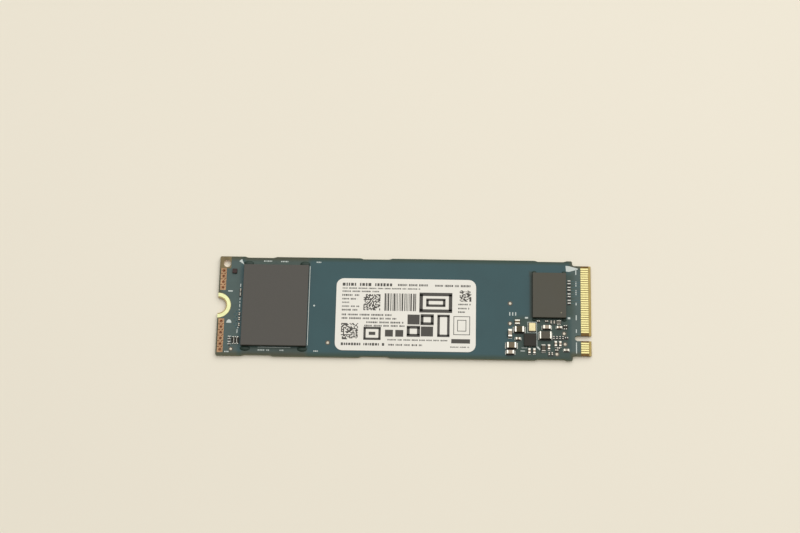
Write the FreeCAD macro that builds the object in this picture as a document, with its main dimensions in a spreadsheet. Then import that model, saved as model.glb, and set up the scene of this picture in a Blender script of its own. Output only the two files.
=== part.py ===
"""Gumstick solid state drive: a 22 x 80 mm plug-in storage card with parts on its upper face.

X runs along the card towards the edge connector, Y across the card and Z up through the parts.
The origin lies on the underside, in the middle of the card. Lengths are millimetres.
"""
import FreeCAD
import Part
import Sketcher
import math
import os

doc = FreeCAD.newDocument("gumstick_drive")
sheet = doc.addObject("Spreadsheet::Sheet", "Sizes")
pieces = []


class Size:
    """A number together with the sheet expression that it is worked out from."""

    def __init__(self, value, text):
        self.value = value
        self.text = text

    def __add__(self, other):
        other = as_size(other)
        return Size(self.value + other.value, f"({self.text} + {other.text})")

    def __sub__(self, other):
        other = as_size(other)
        return Size(self.value - other.value, f"({self.text} - {other.text})")

    def __mul__(self, other):
        other = as_size(other)
        return Size(self.value * other.value, f"({self.text} * {other.text})")

    def __truediv__(self, other):
        other = as_size(other)
        return Size(self.value / other.value, f"({self.text} / {other.text})")

    def __neg__(self):
        return Size(-self.value, f"(0 - {self.text})")


def as_size(number):
    """Give a plain number the same form as a sheet size."""
    return number if isinstance(number, Size) else Size(number, f"({number})")


def cell(alias, value, note):
    """Write one driving dimension into the sheet and return it as a size."""
    row = cell.row
    cell.row = row + 1
    sheet.set(f"A{row}", note)
    sheet.set(f"B{row}", str(value))
    sheet.setAlias(f"B{row}", alias)
    sheet.recompute()
    return Size(sheet.get(alias), f"Sizes.{alias}")


cell.row = 1

# Card outline
board_length = cell("board_length", 80, "card length over the connector tongue")
board_thickness = cell("board_thickness", 0.8, "finished card thickness")
contact_pitch = cell("contact_pitch", 0.5, "spacing of the contacts on one face")
contact_positions = cell("contact_positions", 38, "contact places along the upper face")
contacts_before_key = cell("contacts_before_key", 29, "contacts behind the key notch")
key_positions = cell("key_positions", 4, "contact places taken by the key notch")
tongue_margin = cell("tongue_margin", 0.675, "tongue edge beyond the last contact centre")
tongue_length = cell("tongue_length", 4.0, "tongue length from shoulder to tip")
shoulder_step = cell("shoulder_step", 1.075, "card edge beyond the tongue edge")
shoulder_fillet = cell("shoulder_fillet", 0.5, "inner radius where tongue meets shoulder")
corner_radius = cell("corner_radius", 0.3, "outer corner radius of the card")
key_notch_width = cell("key_notch_width", 1.2, "key notch width")
key_notch_depth = cell("key_notch_depth", 3.5, "key notch depth from the tip")
tip_bevel_length = cell("tip_bevel_length", 0.55, "lead-in bevel along the tongue")
tip_bevel_depth = cell("tip_bevel_depth", 0.15, "lead-in bevel into the thickness")
tab_length = cell("tab_length", 6.9, "length of a panel tab recess over its sloping ends")
tab_depth = cell("tab_depth", 0.22, "depth of a panel tab recess")
tab_slope = cell("tab_slope", 0.7, "length of each sloping end of a panel tab recess")
tab_end_setback = cell("tab_end_setback", 8.85, "first tab centre from the mounting end")
tab_middle_setback = cell("tab_middle_setback", 33.85, "middle tab centre from the mounting end")
tab_tip_setback = cell("tab_tip_setback", 8.6, "last tab centre from the tip")

# Bare copper and gold, laid flush with the solder mask
copper_thickness = cell("copper_thickness", 0.04, "thickness of bare copper and gold")
mask_setback = cell("mask_setback", 2.25, "edge of the solder mask from the tip")
contact_width = cell("contact_width", 0.35, "width of a contact")
contact_length = cell("contact_length", 1.65, "length of a contact")
mount_radius = cell("mount_radius", 1.75, "radius of the half-round screw notch")
land_inner_radius = cell("land_inner_radius", 2.0, "inner radius of the gold half ring")
land_outer_radius = cell("land_outer_radius", 2.75, "outer radius of the gold half ring")
strip_setback = cell("strip_setback", 0.28, "copper strip from the mounting end")
strip_width = cell("strip_width", 1.25, "copper strip width")
strip_margin = cell("strip_margin", 0.6, "copper beyond the last stitching hole centre")
strip_hole_diameter = cell("strip_hole_diameter", 0.45, "stitching hole diameter")
strip_hole_pitch = cell("strip_hole_pitch", 1.25, "stitching hole spacing")
strip_nick_radius = cell("strip_nick_radius", 0.18, "radius of the nicks between stitching holes")
upper_strip_gap = cell("upper_strip_gap", 0.65, "gap from the half ring to the upper strip")
lower_strip_gap = cell("lower_strip_gap", 0.2, "gap from the half ring to the lower strip")
upper_strip_holes = cell("upper_strip_holes", 4, "stitching holes in the upper strip")
lower_strip_holes = cell("lower_strip_holes", 6, "stitching holes in the lower strip")
tooling_hole_diameter = cell("tooling_hole_diameter", 1.6, "tooling hole diameter")
tooling_hole_setback = cell("tooling_hole_setback", 1.6, "tooling hole centre from both edges")
test_pad_diameter = cell("test_pad_diameter", 0.72, "bare test pad diameter")
drill_sides = cell("drill_sides", 10, "flats round a small drilled hole or pad")
placement_grid = cell("placement_grid", 0.05, "grid that the small parts are placed on")

# Packages
flash_length = cell("flash_length", 14, "flash package along the card")
flash_width = cell("flash_width", 18, "flash package across the card")
flash_height = cell("flash_height", 0.88, "flash package body height")
flash_setback = cell("flash_setback", 5.35, "flash package from the mounting end")
ball_sides = cell("ball_sides", 6, "flats round a solder ball")
flash_ball_height = cell("flash_ball_height", 0.22, "solder ball height under the flash package")
flash_ball_radius = cell("flash_ball_radius", 0.24, "solder ball radius under the flash package")
flash_ball_pitch = cell("flash_ball_pitch", 1.0, "solder ball spacing under the flash package")
flash_ball_columns = cell("flash_ball_columns", 3, "solder ball columns on each side of the channel")
flash_ball_rows = cell("flash_ball_rows", 12, "solder balls across the flash package")
flash_ball_channel = cell("flash_ball_channel", 4.0, "free channel between the two solder ball blocks")
flash_bond_length = cell("flash_bond_length", 1.8, "length of a flash corner bond")
flash_bond_reach = cell("flash_bond_reach", 0.95, "reach of a flash corner bond from the package")
flash_bond_height = cell("flash_bond_height", 0.55, "height of a flash corner bond")
controller_length = cell("controller_length", 7.2, "controller package along the card")
controller_width = cell("controller_width", 10, "controller package across the card")
controller_height = cell("controller_height", 0.8, "controller package body height")
controller_setback = cell("controller_setback", 5.35, "controller package from the tip")
controller_front = cell("controller_front", 1.9, "controller's front face before the centreline")
controller_ball_height = cell("controller_ball_height", 0.2, "solder ball height under the controller")
controller_ball_radius = cell("controller_ball_radius", 0.2, "solder ball radius under the controller")
controller_ball_pitch = cell("controller_ball_pitch", 0.8, "solder ball spacing under the controller")
controller_ball_columns = cell("controller_ball_columns", 4, "solder ball columns on each side")
controller_ball_rows = cell("controller_ball_rows", 11, "solder balls across the controller")
controller_bond_length = cell("controller_bond_length", 0.8, "length of a controller corner bond")
controller_bond_reach = cell("controller_bond_reach", 0.55, "reach of a controller corner bond")
controller_bond_height = cell("controller_bond_height", 0.45, "height of a controller corner bond")
pin_mark_radius = cell("pin_mark_radius", 0.3, "radius of the round corner mark")
pin_mark_depth = cell("pin_mark_depth", 0.05, "depth of the round corner mark")
pin_mark_inset = cell("pin_mark_inset", 1.1, "corner mark centre from the package edges")
bond_taper = cell("bond_taper", 0.4, "top of a corner bond as a part of its foot")

# Label
label_length = cell("label_length", 30, "label along the card")
label_width = cell("label_width", 16, "label across the card")
label_thickness = cell("label_thickness", 0.1, "label thickness")
label_radius = cell("label_radius", 1.6, "label corner radius")
label_offset = cell("label_offset", 0.4, "label centre from the middle of the card")
label_margin = cell("label_margin", 1.42, "label from the front edge")

# Other chips
power_chip_length = cell("power_chip_length", 2.55, "power chip along the card")
power_chip_width = cell("power_chip_width", 2.7, "power chip across the card")
power_chip_height = cell("power_chip_height", 0.55, "power chip height")
power_chip_leads = cell("power_chip_leads", 4, "power chip leads on one side")
power_chip_lead_pitch = cell("power_chip_lead_pitch", 0.5, "power chip lead spacing")
power_chip_lead_reach = cell("power_chip_lead_reach", 0.03, "power chip lead beyond the body")
oscillator_length = cell("oscillator_length", 1.6, "oscillator base along the card")
oscillator_width = cell("oscillator_width", 2.0, "oscillator base across the card")
oscillator_height = cell("oscillator_height", 0.42, "oscillator base height")
oscillator_notch = cell("oscillator_notch", 0.17, "radius of the corner notches in the base")
oscillator_lid_margin = cell("oscillator_lid_margin", 0.12, "base rim outside the lid")
oscillator_lid_height = cell("oscillator_lid_height", 0.08, "oscillator lid thickness")
oscillator_lid_radius = cell("oscillator_lid_radius", 0.12, "oscillator lid corner radius")
sensor_side = cell("sensor_side", 1.0, "temperature sensor side")
sensor_height = cell("sensor_height", 0.4, "temperature sensor height")
switch_length = cell("switch_length", 1.6, "load switch body along the card")
switch_width = cell("switch_width", 1.2, "load switch body across the card")
switch_height = cell("switch_height", 0.55, "load switch body height")
switch_leads = cell("switch_leads", 3, "load switch leads on one side")
switch_lead_pitch = cell("switch_lead_pitch", 0.5, "load switch lead spacing")
switch_lead_reach = cell("switch_lead_reach", 0.22, "load switch lead beyond the body")
logic_length = cell("logic_length", 1.0, "logic chip body along the card")
logic_width = cell("logic_width", 0.7, "logic chip body across the card")
logic_height = cell("logic_height", 0.4, "logic chip body height")
logic_leads = cell("logic_leads", 2, "logic chip leads on one side")
logic_lead_pitch = cell("logic_lead_pitch", 0.6, "logic chip lead spacing")
logic_lead_reach = cell("logic_lead_reach", 0.1, "logic chip lead beyond the body")
lead_width = cell("lead_width", 0.22, "width of a lead")
lead_thickness = cell("lead_thickness", 0.12, "thickness of a lead")

# Chip parts with a metal end at each side
plating = cell("plating", 0.02, "end metal proud of the chip part's body")
tiny_length = cell("tiny_length", 0.6, "tiny chip part length")
tiny_width = cell("tiny_width", 0.3, "tiny chip part width")
tiny_height = cell("tiny_height", 0.3, "tiny chip part height")
tiny_end = cell("tiny_end", 0.15, "tiny chip part end metal")
tiny_solder = cell("tiny_solder", 0.1, "tiny chip part solder reach")
small_length = cell("small_length", 1.0, "small chip part length")
small_width = cell("small_width", 0.5, "small chip part width")
small_height = cell("small_height", 0.5, "small chip part height")
small_end = cell("small_end", 0.25, "small chip part end metal")
small_solder = cell("small_solder", 0.18, "small chip part solder reach")
medium_length = cell("medium_length", 1.6, "medium chip part length")
medium_width = cell("medium_width", 0.8, "medium chip part width")
medium_height = cell("medium_height", 0.8, "medium chip part height")
medium_end = cell("medium_end", 0.35, "medium chip part end metal")
medium_solder = cell("medium_solder", 0.25, "medium chip part solder reach")
large_length = cell("large_length", 2.0, "large chip part length")
large_width = cell("large_width", 1.25, "large chip part width")
large_height = cell("large_height", 0.9, "large chip part height")
large_end = cell("large_end", 0.45, "large chip part end metal")
large_solder = cell("large_solder", 0.32, "large chip part solder reach")
wide_length = cell("wide_length", 0.9, "wide capacitor length between its ends")
wide_width = cell("wide_width", 1.05, "wide capacitor width")
resistor_height = cell("resistor_height", 0.35, "small resistor height")
bead_length = cell("bead_length", 1.4, "ferrite bead length")
bead_height = cell("bead_height", 0.6, "ferrite bead height")
inductor_length = cell("inductor_length", 2.5, "power inductor length")
inductor_width = cell("inductor_width", 1.6, "power inductor width")
inductor_height = cell("inductor_height", 1.0, "power inductor height")
inductor_end = cell("inductor_end", 0.3, "power inductor end metal")
lane_pair_pitch = cell("lane_pair_pitch", 1.45, "spacing of the signal lanes' capacitor pairs")
lane_pair_gap = cell("lane_pair_gap", 0.6, "spacing of the two capacitors in a pair")
lane_setback = cell("lane_setback", 4.7, "lane capacitors' centre from the tip")
lane_offset = cell("lane_offset", 6.2, "first lane pair behind the centreline")

# Places worked out from the driving dimensions
zero = as_size(0)
tip_x = board_length / 2
end_x = -tip_x
contact_half_span = contact_pitch * (contact_positions - 1) / 2
underside_shift = contact_pitch / 2
tongue_y = contact_half_span + tongue_margin
edge_y = tongue_y + shoulder_step
shoulder_x = tip_x - tongue_length
key_y = (contact_half_span - contact_pitch * (contacts_before_key + (key_positions - 1) / 2)
         - underside_shift / 2)
top_z = board_thickness
copper_z = board_thickness - copper_thickness
overrun = tongue_length


def bind(item, path, size):
    """Drive one property of a document object from the sheet."""
    item.setExpression(path, size.text)


def origin_feature(body, role):
    """Return a body's own origin plane or axis by its role."""
    return next(item for item in body.Origin.OriginFeatures if item.Role == role)


def new_body(label, alone=True):
    """Start a body, as a sub-part of its own unless it joins a group."""
    body = doc.addObject("PartDesign::Body", label)
    body.Label = label
    if alone:
        pieces.append(body)
    return body


def new_group(label, members):
    """Gather like solids into one sub-part."""
    group = doc.addObject("Part::Compound", label)
    group.Links = members
    group.Label = label
    pieces.append(group)


def new_sketch(body, name, height=zero, plane="XY_Plane"):
    """Attach an empty sketch to a body's origin plane, raised to a height."""
    sketch = body.newObject("Sketcher::SketchObject", name)
    sketch.AttachmentSupport = [(origin_feature(body, plane), "")]
    sketch.MapMode = "FlatFace"
    bind(sketch, "AttachmentOffset.Base.z", height)
    return sketch


def constrain(sketch, size, kind, *places):
    """Add one dimension to a sketch and drive it from the sheet."""
    index = sketch.addConstraint(Sketcher.Constraint(kind, *places, size.value))
    bind(sketch, f"Constraints[{index}]", size)


def draw_outline(sketch, corners):
    """Draw a closed outline of straight edges along X and Y, run anticlockwise.

    Each corner is (x, y) or (x, y, radius), and a radius rounds that corner.
    """
    count = len(corners)
    points = [FreeCAD.Vector(corner[0].value, corner[1].value) for corner in corners]
    radii = [corner[2] if len(corner) == 3 else None for corner in corners]
    steps = [(points[(i + 1) % count] - points[i]).normalize() for i in range(count)]
    lines = []
    for i in range(count):
        after = (i + 1) % count
        start_trim = radii[i].value if radii[i] else 0
        end_trim = radii[after].value if radii[after] else 0
        start = points[i] + steps[i] * start_trim
        end = points[after] - steps[i] * end_trim
        line = sketch.addGeometry(Part.LineSegment(start, end))
        lines.append(line)
        if abs(steps[i].x) > abs(steps[i].y):
            sketch.addConstraint(Sketcher.Constraint("Horizontal", line))
            constrain(sketch, corners[i][1], "DistanceY", -1, 1, line, 1)
        else:
            sketch.addConstraint(Sketcher.Constraint("Vertical", line))
            constrain(sketch, corners[i][0], "DistanceX", -1, 1, line, 1)
    for i in range(count):
        before, after = lines[i - 1], lines[i]
        if radii[i] is None:
            sketch.addConstraint(Sketcher.Constraint("Coincident", before, 2, after, 1))
            continue
        turn = steps[i - 1].cross(steps[i]).z
        radius = radii[i].value
        arc = sketch.addGeometry(Part.Arc(
            points[i] - steps[i - 1] * radius,
            corner_middle(points[i], steps[i - 1], steps[i], radius),
            points[i] + steps[i] * radius))
        first, last = (1, 2) if turn > 0 else (2, 1)
        sketch.addConstraint(Sketcher.Constraint("Tangent", before, 2, arc, first))
        sketch.addConstraint(Sketcher.Constraint("Tangent", arc, last, after, 1))
        constrain(sketch, radii[i], "Radius", arc)


def corner_middle(point, arriving, leaving, radius):
    """Return the middle point of the arc that rounds a square corner."""
    inward = leaving - arriving
    return point + inward * (radius * (1 - 0.5 ** 0.5))


def draw_rectangle(sketch, low_x, high_x, low_y, high_y, radius=None):
    """Draw a rectangle between two corners, rounded where a radius is given."""
    rounding = (radius,) if radius else ()
    draw_outline(sketch, [
        (low_x, low_y, *rounding), (high_x, low_y, *rounding),
        (high_x, high_y, *rounding), (low_x, high_y, *rounding)])


def draw_circle(sketch, x, y, radius):
    """Draw a circle about a point."""
    centre = FreeCAD.Vector(x.value, y.value)
    circle = sketch.addGeometry(Part.Circle(centre, FreeCAD.Vector(0, 0, 1), radius.value))
    constrain(sketch, x, "DistanceX", -1, 1, circle, 3)
    constrain(sketch, y, "DistanceY", -1, 1, circle, 3)
    constrain(sketch, radius, "Radius", circle)


def draw_polygon(sketch, points):
    """Draw a closed polygon whose every point is set by the sheet."""
    vectors = [FreeCAD.Vector(x.value, y.value) for x, y in points]
    lines = []
    for i, vector in enumerate(vectors):
        after = vectors[(i + 1) % len(vectors)]
        lines.append(sketch.addGeometry(Part.LineSegment(vector, after)))
    for i, (x, y) in enumerate(points):
        sketch.addConstraint(Sketcher.Constraint("Coincident", lines[i - 1], 2, lines[i], 1))
        constrain(sketch, x, "DistanceX", -1, 1, lines[i], 1)
        constrain(sketch, y, "DistanceY", -1, 1, lines[i], 1)


def draw_small_round(sketch, x, y, radius):
    """Draw a small hole or pad as an even-sided polygon."""
    sides = int(drill_sides.value)
    turns = [2 * math.pi * i / sides for i in range(sides)]
    draw_polygon(sketch, [(x + radius * math.cos(turn), y + radius * math.sin(turn)) for turn in turns])


def pad(body, sketch, height):
    """Raise a sketch into a solid."""
    feature = body.newObject("PartDesign::Pad", f"{sketch.Name}_pad")
    feature.Profile = sketch
    bind(feature, "Length", height)
    body.Tip = feature
    return feature


def pocket(body, sketch, depth=None, upward=True):
    """Cut a sketch into the body, right through where no depth is given."""
    feature = body.newObject("PartDesign::Pocket", f"{sketch.Name}_cut")
    feature.Profile = sketch
    feature.Reversed = upward
    if depth is None:
        feature.Type = "ThroughAll"
    else:
        bind(feature, "Length", depth)
    body.Tip = feature
    return feature


def repeat(body, feature, axis, spacing, count, reverse=False):
    """Repeat a feature in a row along one of the body's axes."""
    pattern = body.newObject("PartDesign::LinearPattern", f"{feature.Name}_row")
    pattern.Originals = [feature]
    pattern.Direction = (origin_feature(body, axis), [""])
    pattern.Reversed = reverse
    pattern.Mode = "Spacing"
    bind(pattern, "Offset", spacing)
    bind(pattern, "Occurrences", count)
    body.Tip = pattern
    return pattern


def from_tip(steps):
    """Return the place that many grid steps back from the connector tip."""
    return tip_x - placement_grid * steps


def from_end(steps):
    """Return the place that many grid steps in from the mounting end."""
    return end_x + placement_grid * steps


def across(steps):
    """Return the place that many grid steps behind the centreline."""
    return placement_grid * steps


# Copper strips: the first hole and the strip's two ends, counted outwards from the half ring
strip_low_x = end_x + strip_setback
strip_high_x = strip_low_x + strip_width
strip_hole_x = strip_low_x + strip_width / 2
STRIPS = {
    "upper_strip": (1, upper_strip_gap, upper_strip_holes),
    "lower_strip": (-1, lower_strip_gap, lower_strip_holes),
}


def strip_places(side, gap, holes):
    """Return the first hole's Y and the strip's low and high Y."""
    first = land_outer_radius + gap + strip_margin
    last = first + strip_hole_pitch * (holes - 1)
    inner = first - strip_margin
    outer = last + strip_margin
    if side > 0:
        return first, inner, outer
    return -first, -outer, -inner


TEST_PADS = [
    (from_tip(346), across(27)), (from_tip(346), across(-62)), (from_tip(116), across(-103)),
    (from_tip(112), across(-150)), (from_tip(147), across(-194)), (from_end(478), across(-159)),
    (from_end(65), across(-193)),
]


OSCILLATOR_PLACE = (from_tip(252), across(-78))
POWER_CHIP_PLACE = (from_tip(261), across(-135))
SENSOR_PLACE = (from_end(66), across(153))
SWITCH_PLACE = (from_end(83), across(-155))
LOGIC_PLACES = [(from_tip(139), across(-55)), (from_tip(111), across(-76))]


def cut_tab_recesses(body):
    """Three shallow recesses with sloping ends in each long edge, where the card left its panel."""
    recesses = new_sketch(body, "tab_recesses")
    for centre in (end_x + tab_end_setback, end_x + tab_middle_setback, tip_x - tab_tip_setback):
        low = centre - tab_length / 2
        high = centre + tab_length / 2
        for side in (-1, 1):
            edge = edge_y * side
            floor = (edge_y - tab_depth) * side
            beyond = (edge_y + overrun) * side
            draw_polygon(recesses, [(low, edge), (low + tab_slope, floor), (high - tab_slope, floor),
                                    (high, edge), (high, beyond), (low, beyond)])
    pocket(body, recesses)


def make_board():
    """The laminate card, with its tongue, notches, holes and openings in the solder mask."""
    body = new_body("circuit_board")
    outline = new_sketch(body, "card_outline")
    draw_outline(outline, [
        (end_x, -edge_y, corner_radius), (shoulder_x, -edge_y, corner_radius),
        (shoulder_x, -tongue_y, shoulder_fillet), (tip_x, -tongue_y), (tip_x, tongue_y),
        (shoulder_x, tongue_y, shoulder_fillet), (shoulder_x, edge_y, corner_radius),
        (end_x, edge_y, corner_radius)])
    pad(body, outline, board_thickness)
    cut_tab_recesses(body)

    key_radius = key_notch_width / 2
    key_end_x = tip_x - key_notch_depth + key_radius
    key_slot = new_sketch(body, "key_slot")
    draw_rectangle(key_slot, key_end_x, tip_x + overrun, key_y - key_radius, key_y + key_radius)
    pocket(body, key_slot)
    key_end = new_sketch(body, "key_end")
    draw_circle(key_end, key_end_x, key_y, key_radius)
    pocket(body, key_end)
    screw_notch = new_sketch(body, "screw_notch")
    draw_circle(screw_notch, end_x, zero, mount_radius)
    pocket(body, screw_notch)
    tooling_hole = new_sketch(body, "tooling_hole")
    draw_circle(tooling_hole, end_x + tooling_hole_setback, edge_y - tooling_hole_setback,
                tooling_hole_diameter / 2)
    pocket(body, tooling_hole)

    for face, height, upward in (("upper", top_z, False), ("lower", zero, True)):
        tongue = new_sketch(body, f"{face}_tongue_opening", height)
        draw_rectangle(tongue, tip_x - mask_setback, tip_x + overrun, -edge_y, edge_y)
        pocket(body, tongue, copper_thickness, upward)
        land = new_sketch(body, f"{face}_land_opening", height)
        draw_circle(land, end_x, zero, land_outer_radius)
        pocket(body, land, copper_thickness, upward)
    for label, (side, gap, holes) in STRIPS.items():
        first_y, low_y, high_y = strip_places(side, gap, holes)
        opening = new_sketch(body, f"{label}_opening", top_z)
        draw_rectangle(opening, strip_low_x, strip_high_x, low_y, high_y)
        pocket(body, opening, copper_thickness, False)
        hole = new_sketch(body, f"{label}_hole")
        draw_small_round(hole, strip_hole_x, first_y, strip_hole_diameter / 2)
        repeat(body, pocket(body, hole), "Y_Axis", strip_hole_pitch, holes, side < 0)
    pads = new_sketch(body, "test_pad_openings", top_z)
    for x, y in TEST_PADS:
        draw_small_round(pads, x, y, test_pad_diameter / 2)
    pocket(body, pads, copper_thickness, False)

    bevels = (("upper_bevel", copper_z, copper_z - tip_bevel_depth),
              ("lower_bevel", copper_thickness, copper_thickness + tip_bevel_depth))
    for name, face_z, nose_z in bevels:
        bevel = new_sketch(body, name, -edge_y, "XZ_Plane")
        draw_polygon(bevel, [(tip_x - tip_bevel_length, face_z), (tip_x, face_z), (tip_x, nose_z)])
        pocket(body, bevel, edge_y * 2, True)


def make_contacts(label, height, shift, places):
    """One face's row of gold contacts, broken by the key notch."""
    body = new_body(label)
    high_x = tip_x - tip_bevel_length
    groups = (("behind_key", zero, contacts_before_key),
              ("before_key", contacts_before_key + key_positions,
               places - contacts_before_key - key_positions))
    for name, skipped, count in groups:
        y = contact_half_span - shift - contact_pitch * skipped
        finger = new_sketch(body, f"{label}_{name}", height)
        draw_rectangle(finger, high_x - contact_length, high_x, y - contact_width / 2,
                       y + contact_width / 2)
        repeat(body, pad(body, finger, copper_thickness), "Y_Axis", contact_pitch, count, True)


def make_mounting_lands():
    """The gold half rings round the screw notch, one on each face."""
    lands = []
    for face, height in (("upper", copper_z), ("lower", zero)):
        body = new_body(f"{face}_land", alone=False)
        ring = new_sketch(body, f"{face}_land_ring", height)
        draw_circle(ring, end_x, zero, land_outer_radius)
        draw_circle(ring, end_x, zero, land_inner_radius)
        pad(body, ring, copper_thickness)
        beyond = new_sketch(body, f"{face}_land_beyond_edge")
        draw_rectangle(beyond, end_x - overrun, end_x, -overrun, overrun)
        pocket(body, beyond)
        lands.append(body)
    new_group("mounting_lands", lands)


def make_ground_strip(label, side, gap, holes):
    """A bare copper strip with stitching holes and a nick between each two."""
    body = new_body(label, alone=False)
    first_y, low_y, high_y = strip_places(side, gap, holes)
    strip = new_sketch(body, f"{label}_outline", copper_z)
    draw_rectangle(strip, strip_low_x, strip_high_x, low_y, high_y)
    pad(body, strip, copper_thickness)
    hole = new_sketch(body, f"{label}_bore")
    draw_small_round(hole, strip_hole_x, first_y, strip_hole_diameter / 2)
    repeat(body, pocket(body, hole), "Y_Axis", strip_hole_pitch, holes, side < 0)
    nick_y = first_y + strip_hole_pitch / 2 * side
    nick = new_sketch(body, f"{label}_nick")
    draw_small_round(nick, strip_high_x, nick_y, strip_nick_radius)
    repeat(body, pocket(body, nick), "Y_Axis", strip_hole_pitch, holes - 1, side < 0)
    return body


def make_ground_strips():
    """Both copper strips, in one node."""
    new_group("ground_strips", [make_ground_strip(label, *places) for label, places in STRIPS.items()])


def make_test_pads():
    """The round bare pads, all in one node."""
    body = new_body("test_pads")
    rounds = new_sketch(body, "test_pad_rounds", copper_z)
    for x, y in TEST_PADS:
        draw_small_round(rounds, x, y, test_pad_diameter / 2)
    pad(body, rounds, copper_thickness)


def make_block(label, x, y, length, width, height, low_z=top_z, radius=None):
    """A flat-topped body about a point, rounded at its corners where a radius is given."""
    body = new_body(label)
    outline = new_sketch(body, f"{label}_outline", low_z)
    draw_rectangle(outline, x - length / 2, x + length / 2, y - width / 2, y + width / 2, radius)
    pad(body, outline, height)
    return body


def make_balls(label, x, y, radius, height, pitch, columns, rows, channel):
    """Two blocks of solder balls with a channel between, flattened between the card and a package."""
    body = new_body(label)
    for side in (-1, 1):
        ball = body.newObject("PartDesign::AdditivePrism", f"{label}_first")
        ball.AttachmentSupport = [(origin_feature(body, "XY_Plane"), "")]
        ball.MapMode = "FlatFace"
        sizes = {"Polygon": ball_sides, "Circumradius": radius, "Height": height,
                 "AttachmentOffset.Base.x": x + channel / 2 * side,
                 "AttachmentOffset.Base.y": y - pitch * (rows - 1) / 2,
                 "AttachmentOffset.Base.z": top_z}
        for path, size in sizes.items():
            bind(ball, path, size)
        grid = repeat(body, ball, "X_Axis", pitch, columns, side < 0)
        grid.Direction2 = (origin_feature(body, "Y_Axis"), [""])
        grid.Mode2 = "Extent"
        bind(grid, "Length2", pitch * (rows - 1))
        bind(grid, "Occurrences2", rows)


def bond_dabs(label, x, y, package_length, package_width, length, reach, height):
    """Return four dabs of adhesive against a package's front and back, at its corners."""
    dabs = []
    for side_x in (-1, 1):
        for side_y in (-1, 1):
            dab = doc.addObject("Part::Wedge", label)
            sizes = {"Xmin": -length / 2, "Xmax": length / 2, "Ymin": zero, "Ymax": height,
                     "Zmin": zero, "Zmax": reach, "Z2min": zero, "Z2max": reach * bond_taper,
                     "X2min": -length / 2 * bond_taper, "X2max": length / 2 * bond_taper,
                     "Placement.Base.x": x + (package_length - length) / 2 * side_x,
                     "Placement.Base.y": y + package_width / 2 * side_y, "Placement.Base.z": top_z}
            upright = FreeCAD.Rotation(FreeCAD.Vector(1, 0, 0), 90)
            facing = FreeCAD.Rotation(FreeCAD.Vector(0, 0, 1), 180 if side_y > 0 else 0)
            dab.Placement.Rotation = facing * upright
            for path, size in sizes.items():
                bind(dab, path, size)
            dabs.append(dab)
    return dabs


def make_flash():
    """The flash package and its solder balls. Returns its corner bonds."""
    x = end_x + flash_setback + flash_length / 2
    make_block("flash_package", x, zero, flash_length, flash_width, flash_height,
               top_z + flash_ball_height)
    make_balls("flash_solder_balls", x, zero, flash_ball_radius, flash_ball_height,
               flash_ball_pitch, flash_ball_columns, flash_ball_rows, flash_ball_channel)
    return bond_dabs("flash_bond", x, zero, flash_length, flash_width, flash_bond_length,
                     flash_bond_reach, flash_bond_height)


def make_controller():
    """The controller package with its corner mark and its solder balls. Returns its corner bonds."""
    x = tip_x - controller_setback - controller_length / 2
    y = controller_width / 2 - controller_front
    low_z = top_z + controller_ball_height
    body = make_block("controller_package", x, y, controller_length, controller_width,
                      controller_height, low_z)
    mark = new_sketch(body, "controller_corner_mark", low_z + controller_height)
    draw_circle(mark, x + controller_length / 2 - pin_mark_inset,
                y - controller_width / 2 + pin_mark_inset, pin_mark_radius)
    pocket(body, mark, pin_mark_depth, False)
    make_balls("controller_solder_balls", x, y, controller_ball_radius, controller_ball_height,
               controller_ball_pitch, controller_ball_columns, controller_ball_rows,
               controller_ball_pitch)
    return bond_dabs("controller_bond", x, y, controller_length, controller_width,
                     controller_bond_length, controller_bond_reach, controller_bond_height)


def make_label():
    """The paper label between the packages."""
    y = label_margin + label_width / 2 - edge_y
    make_block("product_label", label_offset, y, label_length, label_width, label_thickness, top_z,
               label_radius)


def make_oscillator():
    """The oscillator's ceramic base with notched corners, and its gold lid."""
    x, y = OSCILLATOR_PLACE
    base = make_block("oscillator_base", x, y, oscillator_length, oscillator_width,
                      oscillator_height)
    notches = new_sketch(base, "oscillator_notches", top_z)
    for side_x in (-1, 1):
        for side_y in (-1, 1):
            draw_circle(notches, x + oscillator_length / 2 * side_x,
                        y + oscillator_width / 2 * side_y, oscillator_notch)
    pocket(base, notches)
    make_block("oscillator_lid", x, y, oscillator_length - oscillator_lid_margin * 2,
               oscillator_width - oscillator_lid_margin * 2, oscillator_lid_height,
               top_z + oscillator_height, oscillator_lid_radius)


def make_leaded_chip(label, x, y, length, width, height, leads, lead_pitch, lead_reach):
    """A small moulded chip with a row of flat leads along its front and back."""
    body = make_block(label, x, y, length, width, height)
    first_x = x - lead_pitch * (leads - 1) / 2
    lead = new_sketch(body, f"{label}_leads", top_z)
    draw_rectangle(lead, first_x - lead_width / 2, first_x + lead_width / 2,
                   y - width / 2 - lead_reach, y + width / 2 + lead_reach)
    repeat(body, pad(body, lead, lead_thickness), "X_Axis", lead_pitch, leads)
    return body


def make_power_chip():
    """The flat power chip, with leads along all four sides of its underside."""
    x, y = POWER_CHIP_PLACE
    body = make_leaded_chip("power_chip", x, y, power_chip_length, power_chip_width,
                            power_chip_height, power_chip_leads, power_chip_lead_pitch,
                            power_chip_lead_reach)
    first_y = y - power_chip_lead_pitch * (power_chip_leads - 1) / 2
    half_span = power_chip_length / 2 + power_chip_lead_reach
    lead = new_sketch(body, "power_chip_end_leads", top_z)
    draw_rectangle(lead, x - half_span, x + half_span, first_y - lead_width / 2,
                   first_y + lead_width / 2)
    repeat(body, pad(body, lead, lead_thickness), "Y_Axis", power_chip_lead_pitch, power_chip_leads)


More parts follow.
